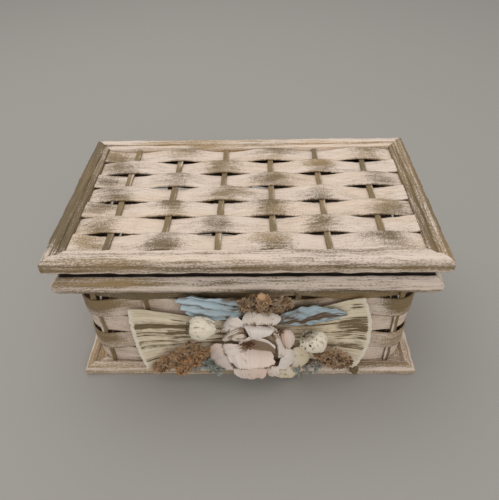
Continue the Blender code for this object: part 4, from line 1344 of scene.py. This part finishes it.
def patch_petal(petal, seed):
    """One thin petal: the surface of second degree through its nine points, with its far corners
    drawn in, a ragged rim, soft waves, and fine ridges that run from root to rim."""
    t, s = share_grid(ROSE_PETAL_GRID)
    slow, quick = waves(s * 14, 0 * s, 11, 5, seed, 5), waves(s * 14, 0 * s, 2.2, 0.7, seed + 4)
    frill = 0.5 * (slow + quick) * petal.ragged
    reach = t * (1 - 0.10 * s ** 4) + 0.020 * frill * t ** 4
    flutter = 0.008 * petal.ragged * waves(t * 12, s, 7, 2, seed + 3) * np.abs(s) ** 5
    swing = (s * (1 - 0.06 * t ** 3) + 1) / 2 + flutter
    net = np.array(petal.points) * MM
    plan = np.einsum("abi,abj,ijk->abk", quadratic_weights(reach), quadratic_weights(swing), net)
    folds = waves(s * 11, t * 3, 11, 4, seed + 1)
    ridges = waves(s * 55, t * 2, 12, 4, seed + 2)
    rim = np.clip((t - 0.86) / 0.14, 0, 1) ** 2
    relief = 0.35 * folds * t + 0.025 * ridges * t + 0.3 * frill * t ** 4 - 0.9 * rim
    return in_front(plan[..., 0], plan[..., 2] + relief * MM, plan[..., 1]), t, s, ridges


def add_strand(shell, points, radius, weights, around=6):
    """A thin closed strand through points: circles across it that taper to its tip."""
    ahead = unit(np.gradient(points, axis=0))
    side = unit(np.cross(ahead, np.array([0.31, 0.87, 0.38])))
    over = np.cross(ahead, side)
    turn = np.linspace(0, 2 * math.pi, around, endpoint=False)
    taper = radius * np.linspace(1.0, 0.5, len(points))
    ring = np.cos(turn)[:, None] * side[:, None, :] + np.sin(turn)[:, None] * over[:, None, :]
    sections = points[:, None, :] + ring * taper[:, None, None]
    length = np.append(0, np.cumsum(np.linalg.norm(np.diff(points, axis=0), axis=1)))
    shell.add_tube(sections, length, np.linspace(0, 2 * math.pi * radius, around + 1), weights)


class BOX_OT_rose(PieceOperator, bpy.types.Operator):
    """Build the rose from thin petals round its heart, with its dry stamens"""

    bl_idname = "woven_box.rose"
    bl_label = "Rose"

    def execute(self, context):
        finish = context.scene.box_finish
        material = petal_material(context)
        shell = Shell()
        for index, petal in enumerate(ROSE_PETALS.values()):
            middle, t, s, ridges = patch_petal(petal, 100 + 7 * index)
            edge = np.clip((t - 0.93) / 0.05, 0, 1)
            freckles = np.clip(waves(s * 14, t * 12, 4, 1.2, 130 + index) - 1.3, 0, 1)
            stain = 0.10 + 0.50 * edge * min(petal.ragged, 1) + 1.3 * np.clip(0.28 - t, 0, 1)
            # Painted shade over a petal's inner part, as strong as its shade weight
            stain = stain + 0.02 * ridges + petal.shade * np.clip((0.74 - t) / 0.06, 0, 1)
            stain = stain + (0.05 + 1.2 * (petal.shade < 0.5) * petal.shade) * freckles
            weights = {
                "stain": stain, "warm": np.clip(petal.warm * (0.6 + 0.4 * s * (-1) ** index), 0, 1),
                "cream": np.clip(petal.cream * (0.5 + 0.6 * t), 0, 1), "brown": 0 * t,
            }
            shell.add_sheet(middle, ROSE_PETAL_THICKNESS, t[:, 0] * 18 * MM, s[0] * 16 * MM, weights)
        # The heart fills the gaps between the petals: a brown ball that paints the shade deep in the
        # rose
        plain = {"stain": 0.75, "warm": 0.0, "cream": 0.2, "brown": 0.0}
        heart = in_front(0.5 * MM, 8.5 * MM, 3.0 * MM)
        add_blob(shell, heart, np.array([23.0, 6.5, 18.0]) * MM, 28, 18, plain, 140)
        rng = np.random.default_rng(150)
        root = np.array([-7.5, 10.5, 16.5]) * MM
        dry = {"stain": 1.0, "warm": 0.3, "cream": 0.0, "brown": 1.0}
        for _ in range(26):
            heading = rng.uniform(0, 2 * math.pi)
            length = rng.uniform(3, 9) * MM
            t = np.linspace(0, 1, 8)
            sideways = root[0] + rng.uniform(-2, 2) * MM + np.cos(heading) * length * t
            upwards = root[1] + rng.uniform(-2, 2) * MM + np.sin(heading) * length * t * 0.7
            upwards = upwards - 2 * MM * t ** 2
            forwards = root[2] + rng.uniform(1, 3) * MM * np.sin(math.pi * t) + 4 * MM * t
            add_strand(shell, in_front(sideways, forwards, upwards), rng.uniform(0.14, 0.26) * MM, dry)
        for x, height, out, spread, count in ROSE_CRUMBS:
            for _ in range(count):
                spot = in_front((x + rng.normal(0, spread)) * MM, (out + rng.uniform(-1, 2)) * MM,
                                (height + rng.normal(0, spread)) * MM)
                add_blob(shell, spot, rng.uniform(0.3, 0.8, 3) * MM, 6, 5, dry, 151)
        shell.finish("rose_petalled", material, ["rose"], "pale_petal")
        return {"FINISHED"}


def petal_material(context):
    """Thin dry petals: pink, cream and brown laid over the pale colour by the piece's own weights."""
    finish = context.scene.box_finish
    material = fibre_material("petal_skin", finish.petal, finish.petal_shade, 0.3, 0.6, 0.08 * MM)
    tree = material.node_tree
    shader = tree.nodes["Principled BSDF"]
    colour = shader.inputs["Base Color"].links[0].from_socket
    for shade, attribute, blend in (
        (finish.petal_warm, "warm", "MULTIPLY"), (finish.petal_cream, "cream", "MULTIPLY"),
        (finish.stamen, "brown", "MIX"),
    ):
        colour = mixed(tree, weight(tree, attribute), colour, solid(shade), blend)
    feed(tree, shader.inputs["Base Color"], colour)
    return material


# Sprigs and lichen

def add_floret(shell, centre, axis, size, weights, rng, petals=5):
    """One dried floret: a few thin pointed flaps, each a strip of three cross-sections of four
    points, set round an axis and leaning out from it."""
    axis = unit(axis)
    side = unit(np.cross(axis, rng.normal(size=3)))
    over = np.cross(axis, side)
    for flap in range(petals):
        turn = 2 * math.pi * (flap + rng.uniform(-0.25, 0.25)) / petals
        out = math.cos(turn) * side + math.sin(turn) * over
        flat = np.cross(out, axis)
        lean = rng.uniform(0.3, 1.0)
        steps = np.array([0.0, 0.55, 1.0])[:, None]
        spine = centre + size * (steps * lean * out + steps * (1.15 - 0.5 * lean * steps) * axis)
        half = size * np.array([0.10, 0.24, 0.04])[:, None, None]
        thick = size * np.array([0.10, 0.07, 0.03])[:, None, None]
        corners = np.array([[-1, -1], [1, -1], [1, 1], [-1, 1]])
        sections = (spine[:, None, :] + corners[None, :, :1] * half * flat
                    + corners[None, :, 1:] * thick * out)
        shell.add_tube(sections, steps[:, 0] * size, np.arange(5) * size * 0.4, weights)


# Each flower head: x, height, out, half length, half depth, half width, lean in degrees, florets,
# and how orange its florets are
SPRIG_HEADS = {
    "sprig_left": [(-33.5, -8.5, 6, 14, 1.6, 4.5, 43, 190, 0.45),
                   (-27, -10.5, 6.25, 11.5, 1.6, 4, 52, 150, 0.9)],
    "sprig_top": [(3, 24.5, 6.15, 10.5, 1.7, 5, 0, 170, 0.15),
                  (2.5, 28.5, 8, 2.8, 1.2, 2.4, 90, 40, 0.4)],
    "sprig_right": [(31, -8.5, 6.15, 9, 1.7, 6, -35, 170, 0.3)],
}


class BOX_OT_sprigs(PieceOperator, bpy.types.Operator):
    """Gather the dried flower heads, each a stalk with many small florets"""

    bl_idname = "woven_box.sprigs"
    bl_label = "Sprigs"

    def execute(self, context):
        finish = context.scene.box_finish
        material = fibre_material("sprig_florets", finish.sprig, finish.sprig_dark, 1.2, 1.6, 0.15 * MM,
                                  (solid(finish.sprig_orange), "orange"))
        for number, (name, heads) in enumerate(SPRIG_HEADS.items()):
            shell = Shell()
            rng = np.random.default_rng(200 + number)
            for x, height, out, half_length, half_depth, half_width, lean, florets, orange in heads:
                axis, side, front = leaning_axes(lean)
                centre = in_front(x * SPAN_SHARE, out * SPAN_SHARE, height * SPAN_SHARE)
                halves = np.array([half_length, half_depth, half_width]) * SPAN_SHARE
                stalk_share = np.linspace(-0.95, 1.0, 14)[:, None]
                bend = 1.2 * MM * np.sin(3 * stalk_share)
                stalk = centre + stalk_share * halves[0] * axis + bend * side - 0.8 * MM * front
                add_strand(shell, stalk, 0.8 * MM, {"stain": 0.8, "orange": 0.3 * orange})
                fan = np.linspace(0, 1, 6)[:, None]
                onward = (-0.25 if lean > 0 else 0.25) * halves[0] * axis
                for _ in range(26):
                    s = rng.uniform(-0.9, 0.7)
                    to = (rng.uniform(-1.1, 1.1) * halves[2] * side
                          + rng.uniform(0.3, 1.0) * halves[1] * front)
                    twig = centre + s * halves[0] * axis + fan * (to + onward)
                    add_strand(shell, twig, 0.35 * MM,
                               {"stain": rng.uniform(0.0, 0.6), "orange": 0.8 * orange}, 5)
                for _ in range(florets):
                    s = rng.uniform(-0.96, 0.96)
                    reach = math.sqrt(1 - s * s)
                    around = rng.uniform(-0.25, math.pi + 0.25)
                    deep = reach * rng.uniform(0.35, 0.92)
                    spot = (centre + s * halves[0] * 0.97 * axis
                            + deep * math.cos(around) * halves[2] * side
                            + deep * max(math.sin(around), -0.2) * halves[1] * front)
                    away = (math.cos(around) * side + (math.sin(around) + 0.5) * front
                            + 0.5 * axis + rng.normal(0, 0.5, 3))
                    size = rng.uniform(1.6, 3.0) * MM
                    shade = {"stain": rng.uniform(0.0, 0.95), "orange": orange * rng.uniform(0.0, 1.0)}
                    add_floret(shell, spot, away, size, shade, rng)
            if name == "sprig_top":
                seed = in_front(2.0 * SPAN_SHARE, 8.5 * SPAN_SHARE, 30.5 * SPAN_SHARE)
                add_blob(shell, seed, np.array([3.6, 2.6, 3.2]) * MM, 14, 10,
                         {"stain": 0.10, "orange": 0.45}, 210)
            shell.finish(f"{name}_florets", material, [name], "dried_sprig")
        return {"FINISHED"}


class BOX_OT_lichen(PieceOperator, bpy.types.Operator):
    """Tuck the grey-blue lichen under the rose's two lower sides"""

    bl_idname = "woven_box.lichen"
    bl_label = "Lichen"

    def execute(self, context):
        finish = context.scene.box_finish
        material = fibre_material("lichen_skin", finish.lichen, finish.leaf_vein, 0.8, 1.4, 0.2 * MM)
        shell = Shell()
        rng = np.random.default_rng(300)
        for x, height, spread, count in ((-20, -15, 4.6, 46), (20, -16.5, 2.6, 16)):
            for _ in range(count):
                centre = in_front((x + rng.normal(0, spread)) * SPAN_SHARE, rng.uniform(6, 15) * MM,
                                  min(height + rng.normal(0, 1.7), -12) * SPAN_SHARE)
                axis = np.array([rng.normal(0, 0.8), -1.0, rng.normal(0.4, 0.8)])
                add_floret(shell, centre, axis, rng.uniform(2.4, 4.6) * MM,
                           {"stain": rng.uniform(0.0, 0.45)}, rng, 6)
        shell.finish("lichen_tufts", material, [], "blue_leaf")
        return {"FINISHED"}


# Stage

LAMP_COLOUR = (1.0, 0.98, 0.95)
LAMP_POWER = 8.0
ROOM_COLOUR = (0.90, 0.89, 0.88)
ROOM_STRENGTH = 0.55


class BOX_OT_stage(PieceOperator, bpy.types.Operator):
    """Set the floor, the soft overhead light and the camera of the photograph"""

    bl_idname = "woven_box.stage"
    bl_label = "Stage"

    def execute(self, context):
        stage = context.scene.box_stage
        half = stage.floor_half
        mesh = bpy.data.meshes.new("floor")
        mesh.from_pydata([(-half, -half, 0), (half, -half, 0), (half, half, 0), (-half, half, 0)], [],
                         [(0, 1, 2, 3)])
        floor = bpy.data.objects.new("floor", mesh)
        context.scene.collection.objects.link(floor)
        floor.location.z = -0.1 * MM
        material, _, shader = new_material("plain_floor")
        shader.inputs["Base Color"].default_value = solid(context.scene.box_finish.floor)
        shader.inputs["Roughness"].default_value = 0.8
        mesh.materials.append(material)
        self.add_light(context, "overhead", (-0.25, 0.35, 1.35), (0.0, 0.05, 0.1), 1.3, LAMP_POWER)
        self.add_light(context, "front_fill", (0.5, -1.5, 1.0), (0.0, 0.0, 0.06), 1.2, LAMP_POWER)
        world = bpy.data.worlds.new("soft_room")
        world.use_nodes = True
        background = world.node_tree.nodes["Background"]
        background.inputs["Color"].default_value = solid(ROOM_COLOUR)
        background.inputs["Strength"].default_value = ROOM_STRENGTH
        context.scene.world = world
        context.scene.view_settings.view_transform = "Standard"
        self.add_camera(context, stage)
        return {"FINISHED"}

    def add_light(self, context, name, place, target, size, power):
        """A square soft light aimed at a point."""
        light = bpy.data.lights.new(name, "AREA")
        light.size = size
        light.energy = power
        light.color = LAMP_COLOUR
        lamp = bpy.data.objects.new(name, light)
        lamp.location = place
        lamp.rotation_mode = "QUATERNION"
        lamp.rotation_quaternion = (Vector(target) - Vector(place)).to_track_quat("-Z", "Y")
        context.scene.collection.objects.link(lamp)

    def add_camera(self, context, stage):
        """The camera, turned by its yaw, pitch and roll."""
        cp, sp = math.cos(stage.pitch), math.sin(stage.pitch)
        cy, sy = math.cos(stage.yaw), math.sin(stage.yaw)
        cr, sr = math.cos(stage.roll), math.sin(stage.roll)
        right = Vector((cy, sy, 0.0))
        ahead = Vector((-sy * cp, cy * cp, -sp))
        down = ahead.cross(right)
        across = cr * right + sr * down
        low = -sr * right + cr * down
        data = bpy.data.cameras.new("camera")
        data.lens = stage.focal_length
        data.clip_start = 0.02
        camera = bpy.data.objects.new("camera", data)
        turn = Matrix((across, -low, -ahead)).transposed()
        place = Matrix.Translation((stage.camera_x, stage.camera_y, stage.camera_z))
        camera.matrix_world = place @ turn.to_4x4()
        context.scene.collection.objects.link(camera)
        context.scene.camera = camera


OPERATORS = (
    BOX_OT_stage,
    BOX_OT_wall_splints,
    BOX_OT_lid_splints,
    BOX_OT_sticks,
    BOX_OT_rails,
    BOX_OT_bottom_board,
    BOX_OT_husk,
    BOX_OT_leaves,
    BOX_OT_buds,
    BOX_OT_rose,
    BOX_OT_sprigs,
    BOX_OT_lichen,
)


class BOX_PT_panel(bpy.types.Panel):
    """The box's pieces and their settings in the 3D view's sidebar."""

    bl_idname = "BOX_PT_panel"
    bl_label = "Woven box"
    bl_space_type = "VIEW_3D"
    bl_region_type = "UI"
    bl_category = "Woven box"

    def draw(self, context):
        for operator in OPERATORS:
            self.layout.operator(operator.bl_idname)


SETTINGS = {"box_weave": WeaveSettings, "box_finish": FinishSettings, "box_stage": StageSettings}


def register():
    """Register the settings, operators and panel."""
    for name, group in SETTINGS.items():
        bpy.utils.register_class(group)
        setattr(bpy.types.Scene, name, PointerProperty(type=group))
    for operator in OPERATORS:
        bpy.utils.register_class(operator)
    bpy.utils.register_class(BOX_PT_panel)


def unregister():
    """Take the settings, operators and panel away again."""
    bpy.utils.unregister_class(BOX_PT_panel)
    for operator in reversed(OPERATORS):
        bpy.utils.unregister_class(operator)
    for name, group in SETTINGS.items():
        delattr(bpy.types.Scene, name)
        bpy.utils.unregister_class(group)


def main():
    """Make every piece in order."""
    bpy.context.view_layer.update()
    register()
    for operator in OPERATORS:
        category, _, action = operator.bl_idname.partition(".")
        getattr(getattr(bpy.ops, category), action)()


if __name__ == "__main__":
    main()
